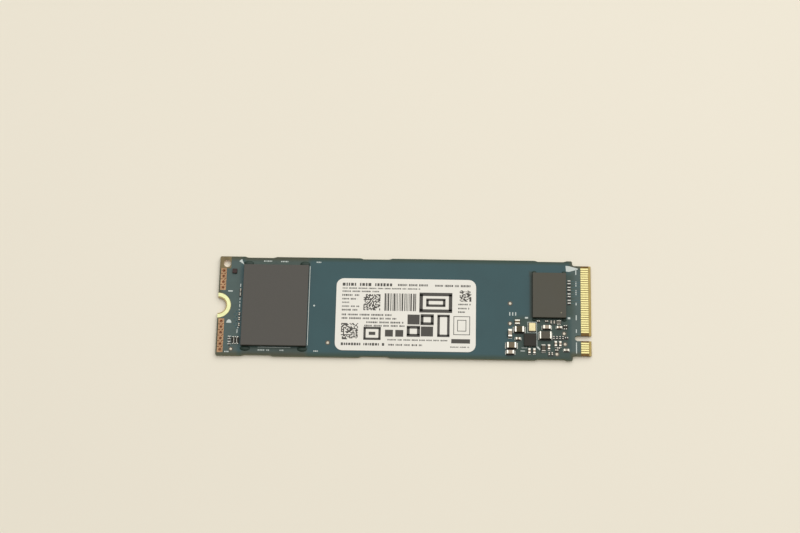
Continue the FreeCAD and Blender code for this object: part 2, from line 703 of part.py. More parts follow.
# Chip parts: length between the ends, width, height, end metal and solder reach
CHIP_KINDS = {
    "tiny": (tiny_length, tiny_width, tiny_height, tiny_end, tiny_solder),
    "small": (small_length, small_width, small_height, small_end, small_solder),
    "medium": (medium_length, medium_width, medium_height, medium_end, medium_solder),
    "large": (large_length, large_width, large_height, large_end, large_solder),
    "wide": (wide_length, wide_width, small_height, small_end, tiny_solder),
    "resistor": (small_length, small_width, resistor_height, small_end, small_solder),
    "bead": (bead_length, medium_width, bead_height, small_end, small_solder),
    "inductor": (inductor_length, inductor_width, inductor_height, inductor_end, small_solder),
}

# Places in grid steps from the tip and behind the centreline, and whether the part lies along Y
CHIP_PARTS = {
    "power_inductor": ("inductor", 196, -115, False),
    "wide_capacitor": ("wide", 315, -56, True),
    "large_capacitor_1": ("large", 307, -90, False),
    "large_capacitor_2": ("large", 340, -160, False),
    "medium_capacitor_1": ("medium", 346, -107, True),
    "medium_capacitor_2": ("medium", 345, -190, False),
    "medium_capacitor_3": ("medium", 190, -78, False),
    "small_capacitor_1": ("small", 312, -129, False),
    "small_capacitor_2": ("small", 264, -183, True),
    "small_capacitor_3": ("small", 243, -183, True),
    "small_capacitor_4": ("small", 137, -77, False),
    "small_capacitor_5": ("small", 181, -165, True),
    "small_capacitor_6": ("small", 152, -150, True),
    "small_capacitor_7": ("small", 133, -150, True),
    "ferrite_bead": ("bead", 204, -170, True),
    "small_resistor": ("resistor", 107, -176, False),
    "pull_up_resistor_1": ("tiny", 160, -122, True),
    "pull_up_resistor_2": ("tiny", 147, -122, True),
    "pull_up_resistor_3": ("tiny", 134, -122, True),
    "pull_up_resistor_4": ("tiny", 121, -122, True),
    "pull_up_resistor_5": ("tiny", 106, -122, False),
    "divider_resistor_1": ("tiny", 141, -168, False),
    "divider_resistor_2": ("tiny", 148, -177, False),
    "divider_resistor_3": ("tiny", 180, -193, True),
    "divider_resistor_4": ("tiny", 167, -193, True),
    "bypass_capacitor_1": ("tiny", 171, -54, True),
    "bypass_capacitor_2": ("tiny", 158, -54, True),
    "bypass_capacitor_3": ("tiny", 226, -50, False),
    "bypass_capacitor_4": ("tiny", 190, -50, False),
}

# Groups of tiny parts by the mounting end, each lying along Y
END_GROUPS = {
    "strap_resistors": [(57, -146), (57, -168)],
    "flash_bypass_capacitors": [(95, 67), (95, 49), (95, -39), (95, -60), (95, -86)],
}

soldered = []


def make_chip_part(label, kind, x, y, along_y):
    """A chip part: a block with a slightly larger metal end at each side."""
    length, width, height, end, _ = CHIP_KINDS[kind]
    soldered.append((kind, x, y, along_y))
    inner_width = width - plating * 2
    blocks = [(-length / 2 + plating, length - plating * 2, inner_width, plating),
              (-length / 2, end, width, zero),
              (length / 2 - end, end, width, zero)]
    shapes = []
    for start, run, breadth, inset in blocks:
        block = doc.addObject("Part::Box", f"{label}_block")
        corner_x, corner_y = (-breadth / 2, start) if along_y else (start, -breadth / 2)
        bind(block, "Length", breadth if along_y else run)
        bind(block, "Width", run if along_y else breadth)
        bind(block, "Height", height - inset * 2)
        bind(block, "Placement.Base.x", x + corner_x)
        bind(block, "Placement.Base.y", y + corner_y)
        bind(block, "Placement.Base.z", top_z + inset)
        shapes.append(block)
    part = doc.addObject("Part::MultiFuse", label)
    part.Shapes = shapes
    part.Refine = True
    part.Label = label
    return part


def make_chip_parts():
    """Every chip part of the card, those in a group sharing one node."""
    for label, (kind, steps, offset, along_y) in CHIP_PARTS.items():
        pieces.append(make_chip_part(label, kind, from_tip(steps), across(offset), along_y))
    for lane in range(4):
        for member in range(2):
            label = f"lane_capacitor_{lane * 2 + member + 1}"
            y = lane_offset - lane_pair_pitch * lane + lane_pair_gap * (0.5 - member)
            pieces.append(make_chip_part(label, "tiny", tip_x - lane_setback, y, False))
    for label, places in END_GROUPS.items():
        members = []
        for number, (steps, offset) in enumerate(places, 1):
            name = f"{label}_{number}"
            members.append(make_chip_part(name, "tiny", from_end(steps), across(offset), True))
        new_group(label, members)


def solder_wedge(kind, x, y, along_y, side):
    """The sloping solder against one end of a chip part."""
    length, width, _, _, reach = (size.value for size in CHIP_KINDS[kind])
    face = side * length / 2
    toe = face + side * reach
    low = -width / 2
    points = [FreeCAD.Vector(face, low, 0), FreeCAD.Vector(toe, low, 0),
              FreeCAD.Vector(face, low, reach), FreeCAD.Vector(face, low, 0)]
    wedge = Part.Face(Part.makePolygon(points)).extrude(FreeCAD.Vector(0, width, 0))
    if along_y:
        wedge.rotate(FreeCAD.Vector(), FreeCAD.Vector(0, 0, 1), 90)
    wedge.translate(FreeCAD.Vector(x.value, y.value, top_z.value))
    return wedge


def make_solder():
    """The solder at both ends of every chip part, in one node."""
    wedges = [solder_wedge(*place, side) for place in soldered for side in (-1, 1)]
    solder = doc.addObject("Part::Feature", "solder_fillets")
    solder.Shape = Part.makeCompound(wedges)
    solder.Label = "solder_fillets"
    solder.Placement = FreeCAD.Placement()
    pieces.append(solder)


def check_document():
    """Stop if any object failed, any cut missed its body or any sub-part isn't a sound solid."""
    for item in doc.Objects:
        if "Invalid" in item.State or "Error" in item.State:
            raise RuntimeError(f"{item.Name} failed: {item.State}")
        if item.TypeId == "PartDesign::Pocket":
            removed = item.BaseFeature.Shape.Volume - item.Shape.Volume
            if removed <= 0:
                raise RuntimeError(f"{item.Name} cuts nothing")
    for piece in pieces:
        shape = piece.Shape
        if shape.isNull() or not shape.isValid() or not shape.Solids:
            raise RuntimeError(f"{piece.Label} is not a sound solid")


def write_parts():
    """Write each sub-part to a file named after it."""
    os.makedirs("parts", exist_ok=True)
    for piece in pieces:
        piece.Shape.exportStep(f"parts/{piece.Label}.step")


make_board()
make_contacts("contact_fingers_top", copper_z, zero, contact_positions)
make_contacts("contact_fingers_bottom", zero, underside_shift, contact_positions - 1)
make_mounting_lands()
make_ground_strips()
make_test_pads()
new_group("corner_bonds", make_flash() + make_controller())
make_label()
make_power_chip()
make_oscillator()
make_block("temperature_sensor", *SENSOR_PLACE, sensor_side, sensor_side, sensor_height)
make_leaded_chip("load_switch", *SWITCH_PLACE, switch_length, switch_width, switch_height,
                 switch_leads, switch_lead_pitch, switch_lead_reach)
for number, place in enumerate(LOGIC_PLACES, 1):
    make_leaded_chip(f"logic_chip_{number}", *place, logic_length, logic_width, logic_height,
                     logic_leads, logic_lead_pitch, logic_lead_reach)
make_chip_parts()
make_solder()
doc.recompute()
check_document()
write_parts()
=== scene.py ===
"""Looks of a gumstick solid state drive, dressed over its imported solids.

The card lies flat: X runs along it to the edge connector, Y across it, and Z up from its underside.
"""

import math
import random

import bmesh
import bpy
from bpy.props import FloatProperty, FloatVectorProperty, IntProperty, PointerProperty
from mathutils import Matrix, Vector


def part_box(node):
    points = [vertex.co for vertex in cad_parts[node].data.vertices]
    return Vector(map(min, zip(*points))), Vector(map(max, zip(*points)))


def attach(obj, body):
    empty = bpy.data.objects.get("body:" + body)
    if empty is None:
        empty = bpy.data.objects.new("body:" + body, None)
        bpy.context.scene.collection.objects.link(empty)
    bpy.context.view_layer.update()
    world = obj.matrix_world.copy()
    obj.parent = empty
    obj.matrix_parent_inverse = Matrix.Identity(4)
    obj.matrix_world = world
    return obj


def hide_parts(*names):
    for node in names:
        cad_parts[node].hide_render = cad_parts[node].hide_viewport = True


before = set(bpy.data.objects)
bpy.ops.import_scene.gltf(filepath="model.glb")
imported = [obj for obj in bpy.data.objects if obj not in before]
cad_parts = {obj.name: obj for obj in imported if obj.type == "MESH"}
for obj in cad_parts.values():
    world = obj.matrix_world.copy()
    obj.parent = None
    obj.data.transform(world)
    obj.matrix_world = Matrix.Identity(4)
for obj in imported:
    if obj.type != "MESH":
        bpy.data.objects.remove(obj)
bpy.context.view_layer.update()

bl_info = {
    "name": "Gumstick drive looks",
    "version": (1, 0, 0),
    "blender": (4, 5, 0),
    "location": "View3D > Sidebar > Drive",
    "description": "Gives a plug-in storage card its finishes, print, solder and stage",
    "category": "Object",
}

MM = 0.001
BODY = "root"
BOARD_LOW, BOARD_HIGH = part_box("circuit_board")
BOARD_TOP = BOARD_HIGH.z
FINGER_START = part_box("contact_fingers_top")[0].x
FINGER_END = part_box("contact_fingers_top")[1].x
# The connector's tongue: its length, and its width beyond the outermost contacts.
TONGUE_LENGTH = 4.0 * MM
TONGUE_MARGIN = 0.6 * MM
# Openings of the mask: the inner corner of the bare patch at the tooling hole, and the round at the ring.
TOOLING_CORNER = (-37.55 * MM, 8.3 * MM)
RING_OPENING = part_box("mounting_lands")[1].y + 0.1 * MM
# The row of capacitors in the connector's fast lanes.
LANE_NODES = [f"lane_capacitor_{number}" for number in range(1, 9)]
# Where copper fills the card under the mask at its two ends.
POUR_EDGES = (-34.9 * MM, 35.2 * MM)
# Fields of the mask that are crowded with small parts, darkened as painted shade between the parts, by their
# lower and upper corners.
CROWDED_FIELDS = (
    ((23.5 * MM, -10.5 * MM), (35.4 * MM, -1.6 * MM)),
    ((34.4 * MM, -1.6 * MM), (36.3 * MM, 8.2 * MM)),
)
# Stitching holes in the copper strips: the first hole's Y, the step to the next and how many.
STITCHES = ((4.0 * MM, 1.25 * MM, 4), (-3.55 * MM, -1.25 * MM, 6))


def colour_setting(name, description, default):
    """A colour that a user may change, in linear light."""
    return FloatVectorProperty(
        name=name, description=description, subtype="COLOR", size=3, min=0.0, max=1.0, default=default
    )


def length_setting(name, description, default):
    """A length that a user may change, in metres."""
    return FloatProperty(
        name=name, description=description, unit="LENGTH", min=0.0, precision=6, default=default
    )


def place_setting(name, description, default):
    """A place that a user may change, in metres."""
    return FloatVectorProperty(
        name=name, description=description, subtype="TRANSLATION", unit="LENGTH", size=3, precision=6,
        default=default,
    )


class BoardLook(bpy.types.PropertyGroup):
    """Sizes and colours of the card, its copper and its white marks."""

    mask_colour: colour_setting("Solder mask", "Blue-grey mask on both faces", (0.017, 0.066, 0.073))
    margin_tint: colour_setting("Margin tint", "What the thin mask at the edges keeps", (1.0, 0.66, 0.33))
    pour_colour: colour_setting("Filled ends", "Mask over the copper at both ends", (0.053, 0.088, 0.079))
    flank_colour: colour_setting("Flash flanks", "Mask beside the flash package", (0.041, 0.067, 0.053))
    laminate_colour: colour_setting("Laminate", "Bare laminate in the openings", (0.165, 0.125, 0.058))
    amber_colour: colour_setting("Tip laminate", "Bare laminate by the contacts", (0.170, 0.092, 0.016))
    wall_colour: colour_setting("Card walls", "Cut edges of the card", (0.170, 0.182, 0.105))
    nose_colour: colour_setting("Connector nose", "Worn bevel before the contacts", (0.410, 0.300, 0.095))
    pale_wall_colour: colour_setting("Tooling hole", "Pale wall of the tooling hole", (0.72, 0.60, 0.50))
    barrel_colour: colour_setting("Hole walls", "Plated walls of the stitching holes", (0.80, 0.42, 0.20))
    notch_colour: colour_setting("Notch wall", "Plated wall of the screw notch", (0.45, 0.34, 0.15))
    gold_colour: colour_setting("Gold", "Plating of the contacts", (0.537, 0.480, 0.221))
    ring_colour: colour_setting("Ring", "Plating of the notch ring", (0.515, 0.525, 0.278))
    copper_colour: colour_setting("Copper", "Bare strips at the notch end", (0.341, 0.209, 0.117))
    tarnish_colour: colour_setting("Tarnish", "Darkened copper round the holes", (0.165, 0.078, 0.040))
    pad_colour: colour_setting("Test pads", "Tinned round pads", (0.44, 0.40, 0.32))
    # Over a pad's rim this is painted shade of its domed solder; round the pad it is brown flux.
    rim_flux_and_shade_colour: colour_setting("Pad rims", "Brown flux round the test pads", (0.072, 0.063, 0.042))
    rim_share: FloatProperty(
        name="Rim share", description="Share of a test pad's radius inside its rim", default=0.76,
        min=0.1, max=1.0, subtype="FACTOR",
    )
    rim_reach: length_setting("Rim reach", "How far a rim reaches past its test pad", 0.17 * MM)
    marks_colour: colour_setting("White marks", "Printed marks round the parts", (0.550, 0.595, 0.555))
    # Painted shade: the mask among the small parts is darker and warmer, as shade between them.
    crowded_shade_colour: colour_setting("Crowded mask", "Mask among the small parts", (0.024, 0.047, 0.029))
    # Resin at the controller's back left corner, and painted shadow along its front.
    stain_and_shadow_colour: colour_setting("Resin stain", "Resin that has crept over the mask", (0.014, 0.030, 0.020))
    # Dark laminate between the lane capacitors, made near black as painted shade between them.
    gap_shade_colour: colour_setting("Pad gaps", "Dark laminate between close pads", (0.008, 0.012, 0.010))
    margin: length_setting("Margin width", "Width of the thin mask along the edges", 0.35 * MM)
    marks_height: length_setting("Mark thickness", "Thickness of the white marks", 0.012 * MM)
    trace_width: length_setting("Trace width", "Width of a covered copper trace", 0.13 * MM)
    trace_height: length_setting("Trace height", "How far a covered trace lifts the mask", 0.012 * MM)
    via_radius: length_setting("Via radius", "Radius of a covered via", 0.2 * MM)


class PackageLook(bpy.types.PropertyGroup):
    """Sizes and colours of the two large packages."""

    mould_colour: colour_setting("Mould compound", "Warm grey flash package", (0.070, 0.064, 0.053))
    controller_colour: colour_setting("Controller", "Brown-grey controller package", (0.060, 0.055, 0.036))
    substrate_colour: colour_setting("Substrate", "Thin carrier under the moulding", (0.007, 0.012, 0.006))
    bond_colour: colour_setting("Corner bond", "Dark green resin at the corners", (0.015, 0.033, 0.023))
    substrate_share: FloatProperty(
        name="Substrate share", description="Share of the height taken by the carrier", default=0.28,
        min=0.05, max=0.6, subtype="FACTOR",
    )
    edge_round: length_setting("Edge round", "Rounding of the moulded edges", 0.05 * MM)
    step: length_setting("Mould step", "How far the moulding stands in from the carrier", 0.03 * MM)


class ChipLook(bpy.types.PropertyGroup):
    """Sizes and colours of the small chip parts and their solder."""

    tin_colour: colour_setting("Tin", "Plated ends of the parts", (0.700, 0.675, 0.585))
    solder_colour: colour_setting("Solder", "Solder of the joints", (0.312, 0.306, 0.270))
    flux_colour: colour_setting("Fluxed solder", "Solder of the smallest joints", (0.084, 0.084, 0.070))
    white_ceramic_colour: colour_setting("White ceramic", "Lane capacitor bodies", (0.610, 0.615, 0.555))
    dark_ceramic_colour: colour_setting("Dark ceramic", "Dark capacitor bodies", (0.074, 0.058, 0.027))
    brown_ceramic_colour: colour_setting("Brown ceramic", "Brown capacitor bodies", (0.155, 0.116, 0.063))
    pale_ceramic_colour: colour_setting("Pale ceramic", "Sandy capacitor bodies", (0.370, 0.300, 0.220))
    glaze_colour: colour_setting("Resistor glaze", "Black glaze of the resistors", (0.018, 0.018, 0.020))
    pale_glaze_colour: colour_setting("Pale glaze", "Sandy glaze of some resistors", (0.36, 0.325, 0.26))
    ferrite_colour: colour_setting("Ferrite", "Grey-brown inductor body", (0.078, 0.066, 0.044))
    black_colour: colour_setting("Black moulding", "Most of the small leaded chips", (0.018, 0.015, 0.008))
    grey_colour: colour_setting("Grey moulding", "The smallest logic chip", (0.125, 0.112, 0.088))
    sensor_colour: colour_setting("Sensor", "Dark red temperature sensor", (0.030, 0.010, 0.007))
    base_colour: colour_setting("Oscillator base", "Ceramic under the lid", (0.15, 0.125, 0.09))
    lid_colour: colour_setting("Oscillator lid", "Gold plate on the oscillator", (0.511, 0.443, 0.255))
    dull_tin_colour: colour_setting("Dull tin", "Plated ends of the smallest parts", (0.50, 0.485, 0.425))
    # Near-black laminate round the parts: bare laminate, darkened as painted shade.
    clearance_shadow_colour: colour_setting("Clearance", "Dark laminate round the parts", (0.011, 0.010, 0.005))
    clearance: length_setting("Clearance width", "Bare laminate round a part", 0.1 * MM)
    # Painted shadow: how far the dark laminate reaches in front of a part.
    front_shadow_run: length_setting("Flux run", "How far dark flux has run in front of a part", 0.16 * MM)
    # Painted shade: the walls of the chip parts darken towards the card over this height.
    painted_shade_foot: length_setting("Dark foot", "Height over which flux darkens the walls", 0.8 * MM)
    plating: length_setting("Plating", "How far the plated ends stand out", 0.02 * MM)
    end_round: FloatProperty(
        name="End rounding", description="Rounding of a plated end as a share of its height", default=0.16,
        min=0.0, max=0.4, subtype="FACTOR",
    )
    pad_height: length_setting("Pad height", "Thickness of a tinned pad", 0.018 * MM)
    pad_margin: length_setting("Pad margin", "How far a pad reaches past its solder", 0.03 * MM)


class LabelLook(bpy.types.PropertyGroup):
    """Sizes and colours of the paper label."""

    paper_colour: colour_setting("Paper", "Warm white paper", (0.80, 0.77, 0.69))
    ink_colour: colour_setting("Ink", "Warm dark grey print", (0.050, 0.044, 0.034))
    ink_height: length_setting("Ink thickness", "Thickness of the print", 0.006 * MM)
    corner_radius: length_setting("Corner radius", "Rounding of the label's corners", 1.6 * MM)
    seed: IntProperty(name="Print seed", description="Seed of the made-up print", default=7)


class StageLook(bpy.types.PropertyGroup):
    """The floor, the light and the camera."""

    floor_colour: colour_setting("Floor", "Pale warm surface", (0.81, 0.755, 0.63))
    sky_colour: colour_setting("Room light", "Soft light from all round", (1.0, 0.97, 0.92))
    sky_strength: FloatProperty(
        name="Room strength", description="Strength of the room light", min=0.0, default=0.32
    )
    lamp_power: FloatProperty(
        name="Lamp power", description="Power of the large soft lamp", unit="POWER", default=21.7
    )
    lamp_size: length_setting("Lamp size", "Side of the large soft lamp", 2.0)
    lamp_place: place_setting("Lamp place", "Where the lamp hangs, aimed at the card", (0.3, 0.5, 1.08))
    azimuth: FloatProperty(
        name="Azimuth", description="Turn of the camera round the card", subtype="ANGLE",
        default=math.radians(4.77),
    )
    elevation: FloatProperty(
        name="Elevation", description="Height of the camera above the floor", subtype="ANGLE",
        default=math.radians(72.71),
    )
    roll: FloatProperty(
        name="Roll", description="Tilt of the picture", subtype="ANGLE", default=math.radians(-3.71)
    )
    target: place_setting("Target", "Middle of the picture", (-1.06 * MM, 9.27 * MM, BOARD_TOP))
    distance: length_setting("Distance", "Camera to the middle of the picture", 365.99 * MM)
    focal_length: FloatProperty(
        name="Focal length", description="Lens of the camera", subtype="DISTANCE_CAMERA", default=76.29
    )
    sensor_width: FloatProperty(
        name="Sensor width", description="Sensor of the camera", subtype="DISTANCE_CAMERA", default=36.0
    )


class Finish:
    """A node material in the making, with short ways to add the textures that finishes share."""

    def __init__(self, name, roughness=0.5, metallic=0.0, gloss=0.5):
        self.material = bpy.data.materials.new(name)
        self.material.use_nodes = True
        self.tree = self.material.node_tree
        self.shader = self.tree.nodes["Principled BSDF"]
        self.shader.inputs["Roughness"].default_value = roughness
        self.shader.inputs["Metallic"].default_value = metallic
        self.shader.inputs["Specular IOR Level"].default_value = gloss
        self.place = self.tree.nodes.new("ShaderNodeTexCoord").outputs["Object"]

    def feed(self, socket, value):
        """Link a socket, or set a number or colour on it."""
        if isinstance(value, bpy.types.NodeSocket):
            self.tree.links.new(value, socket)
        else:
            socket.default_value = value

    def axes(self):
        """The X, Y and Z places on the surface, in metres."""
        split = self.tree.nodes.new("ShaderNodeSeparateXYZ")
        self.feed(split.inputs[0], self.place)
        return split.outputs

    def sum(self, operation, first, *others):
        """Arithmetic on a number or socket, alone or with each of some others in turn."""
        result = first
        for other in others or (0.0,):
            node = self.tree.nodes.new("ShaderNodeMath")
            node.operation = operation
            self.feed(node.inputs[0], result)
            self.feed(node.inputs[1], other)
            result = node.outputs[0]
        return result

    def grain(self, size, stretch=(1.0, 1.0, 1.0), detail=3.0):
        """Noise with spots of about that size, stretched along the axes."""
        mapping = self.tree.nodes.new("ShaderNodeMapping")
        self.feed(mapping.inputs["Vector"], self.place)
        mapping.inputs["Scale"].default_value = [1.0 / (size * share) for share in stretch]
        noise = self.tree.nodes.new("ShaderNodeTexNoise")
        self.feed(noise.inputs["Vector"], mapping.outputs[0])
        noise.inputs["Scale"].default_value = 1.0
        noise.inputs["Detail"].default_value = detail
        return noise.outputs[0]

    def span(self, value, low, high, to_low=0.0, to_high=1.0):
        """Map a value from one range to another, and hold it there."""
        node = self.tree.nodes.new("ShaderNodeMapRange")
        for socket, number in zip(node.inputs, (value, low, high, to_low, to_high)):
            self.feed(socket, number)
        return node.outputs[0]

    def mix(self, share, first, second, blend="MIX"):
        """Blend two colours by a share."""
        node = self.tree.nodes.new("ShaderNodeMix")
        node.data_type = "RGBA"
        node.blend_type = blend
        self.feed(node.inputs[0], share)
        for socket, colour in zip(node.inputs[6:8], (first, second)):
            self.feed(socket, colour if isinstance(colour, bpy.types.NodeSocket) else (*colour, 1.0))
        return node.outputs[2]

    def shades(self, share, colour, spread):
        """Blend from a darker to a lighter shade of one colour."""
        return self.mix(share, shade(colour, 1.0 - spread), shade(colour, 1.0 + spread))

    def painted_shade_foot(self, tone, height):
        """Darken walls towards the card over a height, a painted shade low on the walls, and leave the tops.
        """
        darkest = 0.06
        steep, level = 0.3, 0.8
        split = self.tree.nodes.new("ShaderNodeSeparateXYZ")
        self.feed(split.inputs[0], self.tree.nodes.new("ShaderNodeNewGeometry").outputs["Normal"])
        rise = self.span(self.axes()[2], BOARD_TOP, BOARD_TOP + height, darkest, 1.0)
        upward = self.span(split.outputs[2], steep, level)
        return self.mix(1.0, tone, self.sum("MAXIMUM", rise, upward), "MULTIPLY")

    def paint(self, colour):
        """Give the shader its colour."""
        self.feed(self.shader.inputs["Base Color"], colour)

    def dull(self, value):
        """Give the shader its roughness."""
        self.feed(self.shader.inputs["Roughness"], value)

    def bump(self, height, depth, strength=1.0):
        """Raise the surface by a height map, to that depth in metres."""
        node = self.tree.nodes.new("ShaderNodeBump")
        node.inputs["Strength"].default_value = strength
        node.inputs["Distance"].default_value = depth
        self.feed(node.inputs["Height"], height)
        self.feed(self.shader.inputs["Normal"], node.outputs[0])


def shade(colour, factor):
    """A lighter or darker shade of a colour, within what a surface can have."""
    return tuple(min(1.0, part * factor) for part in colour)


def edge_margin(finish, x, off_middle, width):
    """How far a place lies inside the margin along the card's edges, or below zero on the full mask."""
    tongue_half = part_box("contact_fingers_top")[1].y + TONGUE_MARGIN
    past_shoulder = finish.sum("SUBTRACT", x, BOARD_HIGH.x - TONGUE_LENGTH - width)
    beside_tongue = finish.sum("SUBTRACT", off_middle, tongue_half - width)
    shoulder = finish.sum("MINIMUM", past_shoulder, beside_tongue)
    sides = finish.sum("SUBTRACT", off_middle, BOARD_HIGH.y - width)
    notch_end = finish.sum("SUBTRACT", BOARD_LOW.x + width, x)
    return finish.sum("MAXIMUM", shoulder, sides, notch_end)


def box_reach(finish, x, y, low, high):
    """How far a place lies inside a rectangle between two corners."""
    from_low = [finish.sum("SUBTRACT", place, corner) for place, corner in zip((x, y), low)]
    from_high = [finish.sum("SUBTRACT", corner, place) for place, corner in zip((x, y), high)]
    return finish.sum("MINIMUM", *from_low, *from_high)


def fields_reach(finish, x, y, fields):
    """How far a place lies inside the nearest of some rectangles, each given by two corners."""
    return finish.sum("MAXIMUM", *[box_reach(finish, x, y, *corners) for corners in fields])


def corner_patch_reach(finish, x, y):
    """How far a place lies inside the bare patch at the tooling hole."""
    return box_reach(finish, x, y, (BOARD_LOW.x, TOOLING_CORNER[1]), (TOOLING_CORNER[0], BOARD_HIGH.y))


def notch_reach(finish, x, off_middle, radius):
    """How far a place lies inside a round about the middle of the screw notch."""
    from_end = finish.sum("POWER", finish.sum("SUBTRACT", x, BOARD_LOW.x), 2.0)
    span = finish.sum("SQRT", finish.sum("ADD", finish.sum("POWER", off_middle, 2.0), from_end))
    return finish.sum("SUBTRACT", radius, span)


def strip_reach(finish, x, y):
    """How far a place lies inside a copper strip, where the walls of the holes are plated."""
    return fields_reach(finish, x, y, [box_of(points) for points in solids_of("ground_strips")])


def resin_and_shadow_stain(finish, x, y):
    """Where the mask darkens round the controller: resin at its back left corner, darker along its left
    side, and a painted shadow along its front.
    """
    low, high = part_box("controller_package")
    left_side = ((low.x - 0.6 * MM, low.y), (low.x + 0.6 * MM, high.y))
    back_corner = ((low.x - 0.75 * MM, high.y - 0.8 * MM), (low.x + 0.6 * MM, high.y + 0.5 * MM))
    front = ((low.x + 0.9 * MM, low.y - 0.35 * MM), (high.x - 0.7 * MM, low.y + 0.4 * MM))
    reach = fields_reach(finish, x, y, (left_side, back_corner, front))
    return finish.span(reach, -0.15 * MM, 0.35 * MM)


def lane_gap_shade(finish, x, y):
    """Where bare laminate shows dark between the lane capacitors, deepened by painted shade between them."""
    soft = 0.05 * MM
    corners = [corner for node in LANE_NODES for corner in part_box(node)]
    return finish.span(box_reach(finish, x, y, *box_of(corners)), -soft, soft)


def flank_share(finish, x, off_middle):
    """Where the mask is greyer, in front of the flash package and behind it."""
    soft = 0.5 * MM
    overlap = 0.2 * MM
    low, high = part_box("flash_package")
    beside = finish.sum("SUBTRACT", off_middle, high.y - overlap)
    from_left = finish.sum("SUBTRACT", x, low.x)
    from_right = finish.sum("SUBTRACT", high.x, x)
    return finish.span(finish.sum("MINIMUM", beside, from_left, from_right), -soft, soft)


def mask_tone(finish, look, x, y, off_middle):
    """The mask: teal over the card, greyer over the copper at its ends and beside the flash package."""
    pour_soft = 0.8 * MM
    crowded_soft = 0.6 * MM
    crowded_share = 0.8
    past_ends = [finish.sum("SUBTRACT", POUR_EDGES[0], x), finish.sum("SUBTRACT", x, POUR_EDGES[1])]
    pour = finish.span(finish.sum("MAXIMUM", *past_ends), 0.0, pour_soft)
    flank = flank_share(finish, x, off_middle)
    crowded = fields_reach(finish, x, y, CROWDED_FIELDS)
    crowded = finish.span(crowded, -crowded_soft, crowded_soft, 0.0, crowded_share)
    tone = finish.shades(finish.grain(9.0 * MM), look.mask_colour, 0.2)
    tone = finish.mix(pour, tone, finish.shades(finish.grain(1.2 * MM), look.pour_colour, 0.15))
    tone = finish.mix(flank, tone, finish.shades(finish.grain(1.0 * MM), look.flank_colour, 0.2))
    # Painted shade among the small parts.
    tone = finish.mix(crowded, tone, finish.shades(finish.grain(0.6 * MM), look.crowded_shade_colour, 0.3))
    # Resin and painted shadow round the controller.
    tone = finish.mix(resin_and_shadow_stain(finish, x, y), tone, look.stain_and_shadow_colour)
    # Painted shade between the lane capacitors, over their dark laminate.
    return finish.mix(lane_gap_shade(finish, x, y), tone, look.gap_shade_colour)


def wall_share(finish, z):
    """One on the card's cut walls, and zero on its two faces."""
    face_depth = 0.01 * MM
    middle = BOARD_TOP / 2
    from_middle = finish.sum("ABSOLUTE", finish.sum("SUBTRACT", z, middle))
    return finish.sum("LESS_THAN", from_middle, middle - face_depth)


def laminate_tone(finish, look, place, wall, patch, tip):
    """Bare laminate: sandy in the openings, amber by the contacts, and the colours of each kind of wall."""
    x, y, z = place
    blend = 0.02 * MM
    ply = 0.13 * MM
    spread = 0.45
    plies = finish.sum("SINE", finish.sum("MULTIPLY", z, 2.0 * math.pi / ply))
    streaks = finish.sum("ADD", finish.grain(0.4 * MM, (3.0, 3.0, 0.2)), finish.sum("MULTIPLY", plies, 0.2))
    tone = finish.shades(streaks, look.laminate_colour, spread)
    tone = finish.mix(wall, tone, finish.shades(streaks, look.wall_colour, spread))
    tooling_hole = finish.span(patch, 0.2 * MM, 0.25 * MM)
    tone = finish.mix(finish.sum("MINIMUM", wall, tooling_hole), tone, look.pale_wall_colour)
    strip_holes = finish.span(strip_reach(finish, x, y), 0.0, blend)
    tone = finish.mix(finish.sum("MINIMUM", wall, strip_holes), tone, look.barrel_colour)
    notch = notch_reach(finish, x, finish.sum("ABSOLUTE", y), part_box("mounting_lands")[1].y)
    notch_wall = finish.sum("MINIMUM", wall, finish.span(notch, 0.0, blend))
    tone = finish.mix(notch_wall, tone, look.notch_colour)
    tone = finish.mix(tip, tone, finish.shades(streaks, look.amber_colour, spread))
    nose = finish.span(x, FINGER_END - blend, FINGER_END + 0.1 * MM)
    return finish.mix(nose, tone, finish.shades(streaks, look.nose_colour, 0.3))


def weave_height(finish, x, y):
    """The faint weave of the glass cloth under the mask."""
    thread = 0.5 * MM
    waves = [finish.sum("SINE", finish.sum("MULTIPLY", place, 2.0 * math.pi / thread)) for place in (x, y)]
    return finish.sum("MULTIPLY", *waves)


def board_finish(look):
    """Satin mask, thinner along the margins, and bare laminate in its openings and on the walls."""
    stray = 0.08 * MM
    soft = 0.05 * MM
    thin_reach = 0.75 * MM
    tip_soft = 0.04 * MM
    finish = Finish("solder_mask_board", gloss=0.36)
    x, y, z = finish.axes()
    off_middle = finish.sum("ABSOLUTE", y)
    wander = finish.span(finish.grain(0.5 * MM), 0.0, 1.0, -stray, stray)
    margin = finish.sum("ADD", edge_margin(finish, x, off_middle, look.margin), wander)
    thin = finish.span(margin, -thin_reach, soft)
    wall = wall_share(finish, z)
    patch = corner_patch_reach(finish, x, y)
    opening = finish.sum("MAXIMUM", patch, notch_reach(finish, x, off_middle, RING_OPENING))
    opened = finish.span(finish.sum("ADD", opening, wander), -soft, soft)
    tip = finish.span(x, FINGER_START - tip_soft, FINGER_START)
    bare = finish.sum("MAXIMUM", opened, tip, wall)
    laminate = laminate_tone(finish, look, (x, y, z), wall, patch, tip)
    mask = finish.mix(thin, mask_tone(finish, look, x, y, off_middle), look.margin_tint, "MULTIPLY")
    finish.paint(finish.mix(bare, mask, laminate))
    finish.dull(finish.span(bare, 0.0, 1.0, 0.42, 0.7))
    finish.bump(weave_height(finish, x, y), 0.002 * MM, 0.35)
    return finish.material


